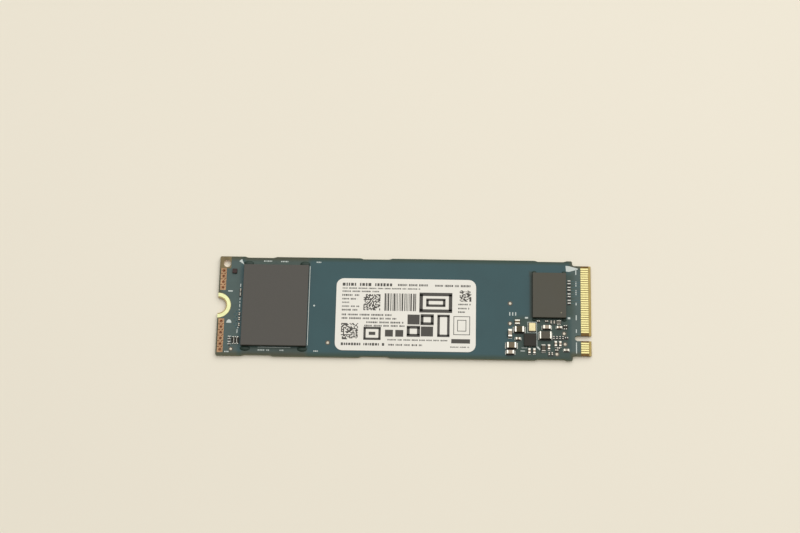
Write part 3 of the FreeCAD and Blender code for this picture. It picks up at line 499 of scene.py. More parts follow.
def covered_copper_finish(look):
    """The mask where copper below lifts it, a little lighter than the rest."""
    finish = Finish("covered_copper", 0.38)
    finish.paint(finish.shades(finish.grain(2.0 * MM), shade(look.mask_colour, 1.22), 0.15))
    finish.bump(finish.grain(0.15 * MM), 0.002 * MM, 0.3)
    return finish.material


def metal_finish(name, colour, roughness, spot, spread=0.12, stretch=(1.0, 1.0, 1.0), painted_shade_foot=0.0):
    """Plated or bare metal with fine streaks and uneven polish, and walls with painted shade towards the
    card if asked.
    """
    finish = Finish(name, metallic=1.0)
    streaks = finish.grain(spot, stretch)
    tone = finish.shades(streaks, colour, spread)
    finish.paint(finish.painted_shade_foot(tone, painted_shade_foot) if painted_shade_foot else tone)
    finish.dull(finish.span(finish.grain(spot * 4.0), 0.2, 0.8, roughness * 0.75, roughness * 1.3))
    finish.bump(streaks, 0.004 * MM, 0.35)
    return finish.material


def moulding_finish(name, colour, roughness=0.55, gloss=0.4, painted_shade_foot=0.0):
    """Matt moulded resin or ceramic with a fine speckle, and walls with painted shade towards the card if
    asked.
    """
    finish = Finish(name, gloss=gloss)
    speckle = finish.grain(0.12 * MM, detail=4.0)
    cloud = finish.grain(5.0 * MM, detail=1.5)
    share = finish.sum("ADD", finish.sum("MULTIPLY", speckle, 0.6), finish.sum("MULTIPLY", cloud, 0.4))
    tone = finish.shades(share, colour, 0.35)
    finish.paint(finish.painted_shade_foot(tone, painted_shade_foot) if painted_shade_foot else tone)
    finish.dull(finish.span(cloud, 0.2, 0.8, roughness - 0.06, roughness + 0.06))
    finish.bump(speckle, 0.006 * MM, 0.5)
    return finish.material


def resin_finish(look):
    """Satin dark green resin that has run a little unevenly."""
    finish = Finish("corner_adhesive", 0.5, gloss=0.36)
    finish.paint(finish.shades(finish.grain(0.8 * MM), look.bond_colour, 0.4))
    finish.bump(finish.grain(0.7 * MM), 0.03 * MM, 0.3)
    return finish.material


def paper_finish(look):
    """Coated label paper with a soft fibre grain."""
    finish = Finish("label_paper", 0.5)
    fibres = finish.grain(0.25 * MM, (3.0, 1.0, 1.0), 4.0)
    finish.paint(finish.shades(finish.grain(4.0 * MM), look.paper_colour, 0.035))
    finish.dull(finish.span(fibres, 0.2, 0.8, 0.45, 0.6))
    finish.bump(fibres, 0.004 * MM, 0.4)
    return finish.material


def ink_finish(name, colour, spread=0.3):
    """A thin printed film with uneven cover."""
    finish = Finish(name, 0.55)
    cover = finish.grain(0.18 * MM, detail=4.0)
    finish.paint(finish.shades(cover, colour, spread))
    finish.bump(cover, 0.003 * MM, 0.4)
    return finish.material


def floor_finish(look):
    """A pale smooth surface with a very faint unevenness."""
    finish = Finish("pale_floor", 0.6)
    finish.paint(finish.shades(finish.grain(60.0 * MM), look.floor_colour, 0.012))
    finish.bump(finish.grain(0.8 * MM), 0.01 * MM, 0.08)
    return finish.material


def dress(nodes, material):
    """Give solids that keep their shape a finish."""
    for node in nodes:
        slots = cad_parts[node].data.materials
        slots.clear()
        slots.append(material)


def place_piece(name, bm, materials, slot, stands_for=(), smooth=False):
    """Make a finished mesh a piece of the card, in place of the solids that it stands for."""
    bmesh.ops.recalc_face_normals(bm, faces=bm.faces[:])
    mesh = bpy.data.meshes.new(name)
    bm.to_mesh(mesh)
    bm.free()
    for material in materials:
        mesh.materials.append(material)
    if smooth:
        mesh.shade_smooth()
    piece = bpy.data.objects.new(name, mesh)
    bpy.context.scene.collection.objects.link(piece)
    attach(piece, BODY)
    if stands_for:
        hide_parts(*stands_for)


def of_kind(items, kind):
    """Those of some mesh items that are of one kind: vertices, edges or faces."""
    return [item for item in items if isinstance(item, kind)]


def faces_round(verts):
    """The faces that meet the vertices, each once and in order."""
    return list(dict.fromkeys(face for vert in verts for face in vert.link_faces))


def edges_round(verts):
    """The edges that meet the vertices, each once and in order."""
    return list(dict.fromkeys(edge for vert in verts for edge in vert.link_edges))


def set_material(verts, material):
    """Give the faces that meet the vertices one of the piece's materials."""
    for face in faces_round(verts):
        face.material_index = material


def sweep_faces(bm, faces, sweep):
    """Sweep faces along a vector to a closed solid, and return the vertices that moved."""
    swept = bmesh.ops.extrude_face_region(bm, geom=faces, use_keep_orig=True)["geom"]
    moved = of_kind(swept, bmesh.types.BMVert)
    bmesh.ops.translate(bm, verts=moved, vec=sweep)
    return moved


def round_edges(bm, edges, radius, segments=2):
    """Round the edges to a radius."""
    bmesh.ops.bevel(
        bm, geom=edges, offset=radius, offset_type="OFFSET", affect="EDGES",
        segments=segments, profile=0.5, material=-1, clamp_overlap=True,
    )


def add_block(bm, low, high, edge_round=0.0, material=0, segments=2):
    """Add a block between two corners, with its edges rounded."""
    low = Vector(low)
    high = Vector(high)
    place = Matrix.Translation((low + high) / 2) @ Matrix.Diagonal((*(high - low), 1.0))
    verts = bmesh.ops.create_cube(bm, size=1.0, matrix=place)["verts"]
    set_material(verts, material)
    if edge_round > 0.0:
        round_edges(bm, edges_round(verts), edge_round, segments)


def add_prism(bm, outline, sweep, material=0, corner_round=0.0):
    """Add a flat outline and sweep it along a vector to a closed solid."""
    verts = [bm.verts.new(point) for point in outline]
    face = bm.faces.new(verts)
    if corner_round > 0.0:
        rounded = bmesh.ops.bevel(
            bm, geom=verts, offset=corner_round, offset_type="OFFSET", affect="VERTICES",
            segments=5, profile=0.5, material=-1,
        )
        face = max(faces_round(rounded["verts"]), key=lambda found: found.calc_area())
    face.material_index = material
    set_material(sweep_faces(bm, [face], sweep), material)


def add_plate(bm, middle, length, width, low_z, height, turn=0.0):
    """Add a thin rectangle, given by its middle, its length along X and its width along Y."""
    place = Matrix.Translation((middle[0], middle[1], low_z + height / 2)) @ Matrix.Rotation(turn, 4, "Z")
    place = place @ Matrix.Diagonal((length, width, height, 1.0))
    bmesh.ops.create_cube(bm, size=1.0, matrix=place)


def add_disc(bm, middle, radius, low_z, height, sides=12, top_share=0.75, material=0):
    """Add a low round bump."""
    bump = bmesh.ops.create_cone(
        bm, cap_ends=True, segments=sides, radius1=radius, radius2=radius * top_share, depth=height,
        matrix=Matrix.Translation((middle[0], middle[1], low_z + height / 2)),
    )
    set_material(bump["verts"], material)


def add_ring(bm, middle, inner, outer, height):
    """Add a flat ring: a disc is inset, its middle is taken out, and the rest is lifted."""
    disc = bmesh.ops.create_circle(
        bm, cap_ends=True, segments=20, radius=outer, matrix=Matrix.Translation(middle)
    )
    face = faces_round(disc["verts"])[0]
    rim = bmesh.ops.inset_individual(bm, faces=[face], thickness=outer - inner)["faces"]
    bmesh.ops.delete(bm, geom=[face], context="FACES_ONLY")
    sweep_faces(bm, rim, (0.0, 0.0, height))


def add_trace(bm, points, width, low_z, height):
    """Add a flat trace: a short edge across it is drawn from point to point, then lifted."""
    start = Vector((*points[0], low_z))
    ahead = Vector(points[1]) - Vector(points[0])
    half = width / 2
    reach = Vector((0.0, half, 0.0)) if abs(ahead.x) >= abs(ahead.y) else Vector((half, 0.0, 0.0))
    edge = bm.edges.new((bm.verts.new(start - reach), bm.verts.new(start + reach)))
    strip = []
    for here, there in zip(points, points[1:]):
        drawn = bmesh.ops.extrude_edge_only(bm, edges=[edge])["geom"]
        ends = of_kind(drawn, bmesh.types.BMVert)
        strip += of_kind(drawn, bmesh.types.BMFace)
        edge = next(found for found in of_kind(drawn, bmesh.types.BMEdge) if set(found.verts) == set(ends))
        step = Vector(there) - Vector(here)
        bmesh.ops.translate(bm, verts=ends, vec=(*step, 0.0))
    sweep_faces(bm, strip, (0.0, 0.0, height))


def strokes(chance, start, end, mean):
    """The middle and breadth of uneven strokes that fill a row, with wider gaps now and then."""
    fewest, most = 3, 8
    narrow, broad = 0.6, 1.5
    gap = mean * 0.5
    wide_gap = mean * 1.5
    place = start
    run = chance.randint(fewest, most)
    while place < end:
        breadth = min(mean * chance.uniform(narrow, broad), end - place)
        yield place + breadth / 2, breadth
        place += breadth + gap
        run -= 1
        if run == 0:
            place += wide_gap
            run = chance.randint(fewest, most)


def solids_of(node):
    """The points of each separate solid in a node, from a merged copy of its mesh."""
    same_place = 0.0005 * MM
    bm = bmesh.new()
    bm.from_mesh(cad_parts[node].data)
    bmesh.ops.remove_doubles(bm, verts=bm.verts[:], dist=same_place)
    found = []
    seen = set()
    for first in bm.verts:
        if first in seen:
            continue
        seen.add(first)
        waiting = [first]
        points = []
        while waiting:
            vert = waiting.pop()
            points.append(vert.co.copy())
            for edge in vert.link_edges:
                other = edge.other_vert(vert)
                if other not in seen:
                    seen.add(other)
                    waiting.append(other)
        found.append(points)
    bm.free()
    return found


def box_of(points):
    """The lowest and highest corners of some points."""
    low = Vector([min(point[axis] for point in points) for axis in range(3)])
    high = Vector([max(point[axis] for point in points) for axis in range(3)])
    return low, high


class DRIVE_OT_board(bpy.types.Operator):
    """Finish the card, its contacts, its ring, its strips and its bare pads"""

    bl_idname = "drive.board"
    bl_label = "Board and copper"

    def execute(self, context):
        look = context.scene.drive_board
        chips = context.scene.drive_chips
        dress(["circuit_board"], board_finish(look))
        dress(
            ["contact_fingers_top", "contact_fingers_bottom"],
            metal_finish("hard_gold", look.gold_colour, 0.32, 0.08 * MM, 0.1, (6.0, 1.0, 1.0)),
        )
        dress(["mounting_lands"], metal_finish("gold_plating", look.ring_colour, 0.36, 0.2 * MM, 0.06))
        dress(["ground_strips"], metal_finish("bare_copper", look.copper_colour, 0.5, 0.5 * MM, 0.35))
        dress(["test_pads"], metal_finish("tinned_pad", look.pad_colour, 0.45, 0.2 * MM, 0.2))
        balls = ["flash_solder_balls", "controller_solder_balls"]
        dress(balls, metal_finish("ball_solder", chips.tin_colour, 0.4, 0.1 * MM))
        self.tarnish(look)
        self.rim_pads_with_shade(look)
        return {"FINISHED"}

    def rim_pads_with_shade(self, look):
        """Brown flux in the gaps round the test pads, and painted shade over their rims, as on domed solder
        turned from the light.
        """
        film = 0.009 * MM
        bm = bmesh.new()
        for points in solids_of("test_pads"):
            low, high = box_of(points)
            middle = (low + high) / 2
            middle.z = BOARD_TOP
            radius = (high.x - low.x) / 2
            add_ring(bm, middle, radius * look.rim_share, radius + look.rim_reach, film)
        place_piece("pad_rims", bm, [ink_finish("pad_flux", look.rim_flux_and_shade_colour)], "solder_mask_board")

    def tarnish(self, look):
        """Darkened copper round the stitching holes, and streaks from the nicks between them."""
        film = 0.004 * MM
        ring_radii = (0.23 * MM, 0.31 * MM)
        streak_size = (0.52 * MM, 0.17 * MM)
        streak_inset = 0.3 * MM
        streak_turn = math.radians(35)
        nick_size = (0.44 * MM, 0.15 * MM)
        nick_inset = 0.24 * MM
        low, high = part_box("ground_strips")
        bm = bmesh.new()
        for first, step, count in STITCHES:
            for number in range(count):
                hole = Vector(((low.x + high.x) / 2, first + step * number, high.z))
                add_ring(bm, hole, *ring_radii, film)
                if number < count - 1:
                    between = hole.y + step / 2
                    add_plate(bm, (high.x - streak_inset, between), *streak_size, high.z, film, streak_turn)
                    add_plate(bm, (low.x + nick_inset, between), *nick_size, high.z, film)
        finish = metal_finish("tarnished_copper", look.tarnish_colour, 0.6, 0.15 * MM, 0.4)
        place_piece("strip_tarnish", bm, [finish], "bare_copper")


# Finger pitch of the edge connector, which the covered traces from the lane capacitors meet.
FINGER_PITCH = 0.5 * MM


class DRIVE_OT_traces(bpy.types.Operator):
    """Raise the mask over the traces and the covered vias on both faces"""

    bl_idname = "drive.traces"
    bl_label = "Covered traces"

    def execute(self, context):
        look = context.scene.drive_board
        bm = bmesh.new()
        controller_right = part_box("controller_package")[1].x
        jog = 0.35 * MM
        for node in LANE_NODES:
            low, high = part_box(node)
            lane = (low.y + high.y) / 2
            finger = (math.floor(lane / FINGER_PITCH) + 0.5) * FINGER_PITCH
            bend = high.x + 2.0 * jog
            start = (controller_right - jog, lane)
            add_trace(bm, [start, (low.x, lane)], look.trace_width, BOARD_TOP, look.trace_height)
            path = [(high.x, lane), (bend, lane), (bend + jog, finger), (FINGER_START, finger)]
            add_trace(bm, path, look.trace_width, BOARD_TOP, look.trace_height)
        self.fan_out(bm, look)
        self.underside(bm, look)
        place_piece("covered_traces", bm, [covered_copper_finish(look)], "solder_mask_board")
        return {"FINISHED"}

    def fan_out(self, bm, look):
        """Traces from the flash package's notch-side edge to vias, short and long in turn."""
        first = -1.4 * MM
        step = -0.55 * MM
        lengths = (1.25 * MM, 1.65 * MM)
        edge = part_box("flash_package")[0].x
        for row in range(7):
            y = first + step * row
            far = edge - lengths[row % 2]
            add_trace(bm, [(edge, y), (far, y)], look.trace_width, BOARD_TOP, look.trace_height)
            add_disc(bm, (far, y), look.via_radius, BOARD_TOP, look.trace_height)

    def underside(self, bm, look):
        """Rows of vias under the packages, and long traces between them."""
        height = look.trace_height
        columns = range(-3, 4)
        rows = range(-5, 6)
        for node in ("flash_package", "controller_package"):
            low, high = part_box(node)
            middle = (low + high) / 2
            column_step = (high.x - low.x) / (len(columns) + 0.5)
            row_step = (high.y - low.y) / (len(rows) + 1)
            for column in columns:
                for row in rows:
                    spot = (middle.x + column * column_step, middle.y + row * row_step)
                    add_disc(bm, spot, look.via_radius, -height / 2, height, 10, 1.0)
        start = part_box("flash_package")[1].x
        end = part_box("controller_package")[0].x
        bend = start + 14.0 * MM
        slant = 1.0 * MM
        side_step = 0.9 * MM
        for row in range(12):
            y = (-4.2 + 0.7 * row) * MM
            shift = side_step * (1 if row % 3 else -1)
            path = [(start, y), (bend, y), (bend + slant, y + shift), (end, y + shift)]
            add_trace(bm, path, look.trace_width, -height / 2, height)


# White marks printed on the card, and one painted highlight beside the flash package: middle X, middle Y,
# length along X and width along Y, in millimetres.
WHITE_BARS = (
    (-37.45, 3.2, 1.0, 0.26),
    (-35.3, 4.5, 0.18, 0.7),
    (-35.3, 1.45, 0.16, 0.45),
    (-35.3, 0.75, 0.16, 0.4),
    (-35.3, -0.05, 0.18, 0.7),
    (-35.33, -0.95, 0.2, 0.25),
    (-35.45, -4.9, 0.2, 0.35),
    (-35.6, -5.75, 0.18, 0.8),
    (-27.5, -9.18, 7.0, 0.08),
    # Painted highlight: a bright line along the flash package's right edge, where light catches it.
    (-20.45, 0.2, 0.15, 17.6),
    (26.2, -1.78, 0.66, 0.36),
    (35.25, -1.74, 0.55, 0.42),
    (28.42, -6.6, 0.12, 3.2),
    (25.4, -9.1, 0.95, 0.16),
    (25.75, -8.43, 1.15, 0.1),
)
# Rows of small white strokes beside the parts: first X, last X and middle Y, in millimetres.
WHITE_ROWS = (
    (-38.1, -37.2, -10.25),
    (-30.5, -28.5, 10.05),
    (-26.8, -25.25, 10.0),
    (-31.0, -28.5, -9.8),
    (-26.3, -25.5, -9.8),
    (-19.1, -18.1, 9.95),
    (-19.1, -18.1, -9.85),
)
# Mean breadth and height of those strokes, and the seed that makes them uneven.
ROW_STROKE = (0.22, 0.26)
ROW_SEED = 3
# The white line beside the contacts: its X, its width, and the lower and upper Y of its dashes.
CONTACT_LINE_X = 36.8
CONTACT_LINE_WIDTH = 0.2
CONTACT_DASHES = (
    (7.94, 9.14),
    (5.34, 6.44),
    (3.44, 4.54),
    (1.14, 1.84),
    (-2.16, -1.06),
    (-4.96, -4.16),
    (-9.46, -7.06),
)
# Three upright bars behind the small parts: their X, and the Y, length and width that they share.
UPRIGHTS_X = (22.63, 23.26, 23.89)
UPRIGHT = (-0.97, 0.22, 0.75)
# A slanted bar among the small parts, and the dot beside the flash package with its radius.
SLANTED_BAR = (28.8, -8.46, 0.34, 0.85)
PACKAGE_DOT = (-19.3, 0.2, 0.2)
# The arrow that shows how the flash package sits, and the tapered mark at the connector's back shoulder.
CORNER_ARROW = ((-35.85, 9.95), (-35.3, 10.45), (-34.75, 9.2))
KEY_WEDGE = ((34.6, 9.95), (34.7, 8.7), (35.3, 8.62), (37.2, 9.15), (37.2, 9.4), (35.3, 9.9))


class DRIVE_OT_marks(bpy.types.Operator):
    """Print the white marks of the card, and paint a highlight along the flash package's right edge"""

    bl_idname = "drive.marks"
    bl_label = "White marks"

    def execute(self, context):
        look = context.scene.drive_board
        self.bm = bmesh.new()
        self.height = look.marks_height
        for bar in WHITE_BARS:
            self.bar(*bar)
        chance = random.Random(ROW_SEED)
        mean, row_height = ROW_STROKE
        for start, end, y in WHITE_ROWS:
            for x, breadth in strokes(chance, start, end, mean):
                self.bar(x, y, breadth, row_height)
        for low, high in CONTACT_DASHES:
            self.bar(CONTACT_LINE_X, (low + high) / 2, CONTACT_LINE_WIDTH, high - low)
        self.flat_mark(CORNER_ARROW)
        self.flat_mark(KEY_WEDGE)
        self.oscillator_frame()
        x, y, radius = PACKAGE_DOT
        add_disc(self.bm, (x * MM, y * MM), radius * MM, BOARD_TOP, self.height, 16, 1.0)
        self.half_round()
        for x in UPRIGHTS_X:
            self.bar(x, *UPRIGHT)
        self.bar(*SLANTED_BAR, math.radians(45))
        self.strap_dashes()
        finish = ink_finish("white_marks", look.marks_colour, 0.14)
        place_piece("white_marks", self.bm, [finish], "solder_mask_board")
        return {"FINISHED"}

    def bar(self, x, y, length, width, turn=0.0):
        """One bar, given in millimetres by its middle, its length along X and its width along Y."""
        add_plate(self.bm, (x * MM, y * MM), length * MM, width * MM, BOARD_TOP, self.height, turn)

    def flat_mark(self, outline):
        """A mark with an outline given in millimetres."""
        add_prism(self.bm, [(x * MM, y * MM, BOARD_TOP) for x, y in outline], (0.0, 0.0, self.height))

    def half_round(self):
        """The half-round mark beside the screw notch."""
        x, y = -37.45, -3.9
        reach_x, reach_y = 0.55, 0.75
        turns = [math.pi * step / 8 for step in range(9)]
        self.flat_mark([(x + reach_x * math.cos(turn), y + reach_y * math.sin(turn)) for turn in turns])

    def strap_dashes(self):
        """The dashes between the strap resistors."""
        first_y, step_y = -6.86, -0.56
        length, width = 0.75, 0.17
        low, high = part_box("strap_resistors")
        middle_x = (low.x + high.x) / 2 / MM
        for number in range(4):
            self.bar(middle_x, first_y + step_y * number, length, width)

    def oscillator_frame(self):
        """The frame round the oscillator."""
        gap = 0.16 * MM
        line = 0.1 * MM
        low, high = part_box("oscillator_base")
        middle = (low + high) / 2
        for side in (low.y - gap, high.y + gap):
            add_plate(self.bm, (middle.x, side), high.x - low.x + 2 * gap, line, BOARD_TOP, self.height)
        for side in (low.x - gap, high.x + gap):
            add_plate(self.bm, (side, middle.y), line, high.y - low.y + 2 * gap, BOARD_TOP, self.height)


class DRIVE_OT_packages(bpy.types.Operator):
    """Mould the flash and controller packages over their carriers"""

    bl_idname = "drive.packages"
    bl_label = "Large packages"

    def execute(self, context):
        look = context.scene.drive_packages
        moulds = {
            "flash_package": moulding_finish("flash_moulding", look.mould_colour),
            "controller_package": moulding_finish("controller_moulding", look.controller_colour),
        }
        carrier_round = 0.01 * MM
        substrate = moulding_finish("package_substrate", look.substrate_colour, 0.45)
        pale = moulding_finish("corner_mark", shade(look.controller_colour, 4.0))
        for node, mould in moulds.items():
            low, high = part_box(node)
            split = low.z + (high.z - low.z) * look.substrate_share
            step = Vector((look.step, look.step, 0.0))
            bm = bmesh.new()
            add_block(bm, low, (high.x, high.y, split), carrier_round, 1, 1)
            add_block(bm, Vector((low.x, low.y, split)) + step, high - step, look.edge_round, 0, 3)
            if node == "controller_package":
                self.corner_mark(bm, low, high)
            place_piece(f"{node}_body", bm, [mould, substrate, pale], "mould_compound", [node])
        return {"FINISHED"}

    def corner_mark(self, bm, low, high):
        """The pale round mark on the top, at its front right corner."""
        inset = 1.1 * MM
        radius = 0.16 * MM
        sunk = 0.01 * MM
        height = 0.012 * MM
        middle = (high.x - inset, low.y + inset)
        add_disc(bm, middle, radius, high.z - sunk, height, 20, 0.9, 2)


class DRIVE_OT_bonds(bpy.types.Operator):
    """Run resin round the corners of the large packages"""

    bl_idname = "drive.bonds"
    bl_label = "Corner bonds"

    def execute(self, context):
        look = context.scene.drive_packages
        bm = bmesh.new()
        for points in solids_of("corner_bonds"):
            low, high = box_of(points)
            self.add_dab(bm, low, high)
        place_piece("corner_bond_dabs", bm, [resin_finish(look)], "corner_adhesive", ["corner_bonds"], True)
        return {"FINISHED"}

    def add_dab(self, bm, low, high):
        """A low dome cut flat where it lies on the card."""
        spread = 0.6
        middle = (low + high) / 2
        middle.z = low.z
        radii = [(far - near) * spread for near, far in zip(low, high)]
        place = Matrix.Translation(middle) @ Matrix.Diagonal((*radii, 1.0))
        ball = bmesh.ops.create_uvsphere(bm, u_segments=20, v_segments=12, radius=1.0, matrix=place)
        dome = ball["verts"]
        geometry = dome + edges_round(dome) + faces_round(dome)
        bmesh.ops.bisect_plane(
            bm, geom=geometry, plane_co=(0.0, 0.0, low.z), plane_no=(0.0, 0.0, 1.0), clear_inner=True
        )
        bmesh.ops.holes_fill(bm, edges=[edge for edge in bm.edges if edge.is_boundary])


class DRIVE_OT_label(bpy.types.Operator):
    """Stick the paper label down"""

    bl_idname = "drive.label"
    bl_label = "Label"

    def execute(self, context):
        look = context.scene.drive_label
        low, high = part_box("product_label")
        bm = bmesh.new()
        outline = [(low.x, low.y), (high.x, low.y), (high.x, high.y), (low.x, high.y)]
        add_prism(
            bm, [(*point, low.z) for point in outline], (0.0, 0.0, high.z - low.z), 0, look.corner_radius
        )
        place_piece("label_sheet", bm, [paper_finish(look)], "label_paper", ["product_label"])
        return {"FINISHED"}


# The label's made-up print is laid out in millimetres right and forward from its back left corner.
# Rows of strokes: first and last place along the row, the row's own place, its height and a mean stroke.
PRINT_ROWS = (
    (1.3, 12.2, 1.35, 0.75, 0.42),
    (13.2, 19.8, 1.35, 0.50, 0.20),
    (21.2, 28.8, 1.40, 0.50, 0.20),
    (1.3, 18.0, 2.20, 0.32, 0.16),
    (1.3, 9.4, 2.90, 0.34, 0.18),
    (1.3, 4.9, 3.75, 0.42, 0.26),
    (1.3, 4.6, 4.60, 0.36, 0.18),
    (1.3, 2.8, 5.40, 0.34, 0.18),
    (1.3, 5.0, 6.25, 0.36, 0.18),
    (1.3, 5.0, 7.05, 0.40, 0.20),
    (1.3, 12.0, 8.10, 0.42, 0.20),
    (1.3, 13.0, 8.90, 0.42, 0.20),
    (6.6, 14.6, 9.75, 0.40, 0.20),
    (6.2, 14.8, 10.50, 0.40, 0.20),
    (26.2, 28.9, 5.50, 0.36, 0.18),
    (26.2, 28.6, 6.40, 0.36, 0.18),
    (26.2, 28.0, 7.20, 0.36, 0.18),
    (11.2, 24.0, 13.55, 0.34, 0.16),
    (1.3, 10.6, 14.60, 0.60, 0.32),
    (11.4, 18.6, 14.65, 0.42, 0.20),
    (24.6, 28.6, 14.95, 0.30, 0.16),
)
# Speckled squares: their middle, their side and the cells to a side.
SPECKLED_SQUARES = ((7.7, 5.3, 3.6, 16), (27.75, 3.6, 2.5, 12), (3.05, 11.8, 3.6, 16))
# Frames: their middle, length, width and line.
FRAMES = (
    (21.4, 5.2, 6.3, 3.7, 0.75),
    (21.4, 5.2, 3.6, 1.3, 0.55),
    (7.9, 12.2, 3.2, 2.4, 0.50),
    (19.6, 9.0, 2.2, 1.8, 0.65),
    (16.7, 11.6, 2.2, 1.8, 0.65),
    (23.1, 10.3, 2.1, 4.4, 0.55),
    (27.0, 10.2, 3.4, 4.0, 0.14),
    (27.0, 10.2, 1.8, 2.4, 0.14),
)
# Solid fields: their middle, length and width.
FIELDS = (
    (16.7, 9.0, 2.6, 2.2),
    (19.6, 11.6, 2.6, 2.2),
    (11.5, 12.1, 1.7, 1.5),
    (13.7, 12.1, 1.7, 1.5),
    (7.9, 12.2, 1.4, 0.7),
    (26.8, 13.65, 4.0, 0.95),
)
# Upright stripes: first and last place, the middle of their length and their length.
STRIPES = (10.4, 17.2, 5.2, 3.9)


class DRIVE_OT_print(bpy.types.Operator):
    """Print made-up rows, squares, frames and stripes on the label"""

    bl_idname = "drive.print"
    bl_label = "Label print"

    def execute(self, context):
        look = context.scene.drive_label
        low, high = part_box("product_label")
        self.corner = Vector((low.x, high.y, high.z))
        self.bm = bmesh.new()
        self.height = look.ink_height
        chance = random.Random(look.seed)
        for start, end, y, height, mean in PRINT_ROWS:
            for x, breadth in strokes(chance, start, end, mean):
                self.field(x, y, breadth, height * chance.uniform(0.8, 1.0))
        for square in SPECKLED_SQUARES:
            self.speckled_square(chance, *square)
        for outline in FRAMES:
            self.frame(*outline)
        for field in FIELDS:
            self.field(*field)
        self.stripes(chance, *STRIPES)
        place_piece("label_print", self.bm, [ink_finish("label_ink", look.ink_colour)], "label_paper")
        return {"FINISHED"}

    def field(self, x, y, length, width):
        """One solid rectangle of ink."""
        middle = (self.corner.x + x * MM, self.corner.y - y * MM)
        add_plate(self.bm, middle, length * MM, width * MM, self.corner.z, self.height)

    def speckled_square(self, chance, x, y, side, cells):
        """A square of scattered small cells."""
        inked = 0.58
        cell = side / cells
        for row in range(cells):
            for column in range(cells):
                if chance.random() < inked:
                    place = x - side / 2 + (column + 0.5) * cell
                    self.field(place, y - side / 2 + (row + 0.5) * cell, cell, cell)

    def frame(self, x, y, length, width, line):
        """A hollow rectangle."""
        for side in (-0.5, 0.5):
            self.field(x, y + side * width, length + line, line)
            self.field(x + side * length, y, line, width)

    def stripes(self, chance, start, end, y, length):
        """Upright stripes of uneven breadth."""
        breadths = (0.12, 0.2, 0.32)
        gaps = (0.12, 0.18, 0.26)
        x = start
        while x < end:
            breadth = chance.choice(breadths)
            self.field(x + breadth / 2, y, breadth, length)
            x += breadth + chance.choice(gaps)


# Families of chip parts: the start of a node's name, its body and the share of its length in each end.
CHIP_FAMILIES = {
    "lane_capacitor": ("white ceramic", 0.2),
    "wide_capacitor": ("brown ceramic", 0.26),
    "large_capacitor_1": ("dark ceramic", 0.2),
    "large_capacitor_2": ("brown ceramic", 0.2),
    "medium_capacitor": ("pale ceramic", 0.24),
    "small_capacitor": ("pale ceramic", 0.28),
    "bypass_capacitor": ("pale ceramic", 0.3),
    "flash_bypass_capacitors": ("brown ceramic", 0.3),
    "power_inductor": ("ferrite", 0.12),
    "ferrite_bead": ("ferrite", 0.12),
    "small_resistor": ("pale glaze", 0.24),
    "pull_up_resistor": ("resistor glaze", 0.3),
    "divider_resistor": ("pale glaze", 0.3),
    "strap_resistors": ("resistor glaze", 0.28),
}
# Bodies of the chip parts: their colour setting, roughness, gloss and material slot.
CHIP_BODIES = {
    "dark ceramic": ("dark_ceramic_colour", 0.45, 0.25, "capacitor_ceramic"),
    "brown ceramic": ("brown_ceramic_colour", 0.45, 0.3, "capacitor_ceramic"),
    "pale ceramic": ("pale_ceramic_colour", 0.45, 0.4, "capacitor_ceramic"),
    "white ceramic": ("white_ceramic_colour", 0.45, 0.4, "capacitor_ceramic"),
    "ferrite": ("ferrite_colour", 0.6, 0.4, "ferrite"),
    "resistor glaze": ("glaze_colour", 0.3, 0.4, "resistor_glaze"),
    "pale glaze": ("pale_glaze_colour", 0.3, 0.4, "resistor_glaze"),
}
# Families that are plated along their longer sides, not at their far ends.
CROSSWISE = ("wide_capacitor",)
# Families with dull ends.
DULL = (
    "lane_capacitor",
    "pull_up_resistor",
    "divider_resistor",
    "strap_resistors",
    "bypass_capacitor",
    "flash_bypass_capacitors",
    "ferrite_bead",
)


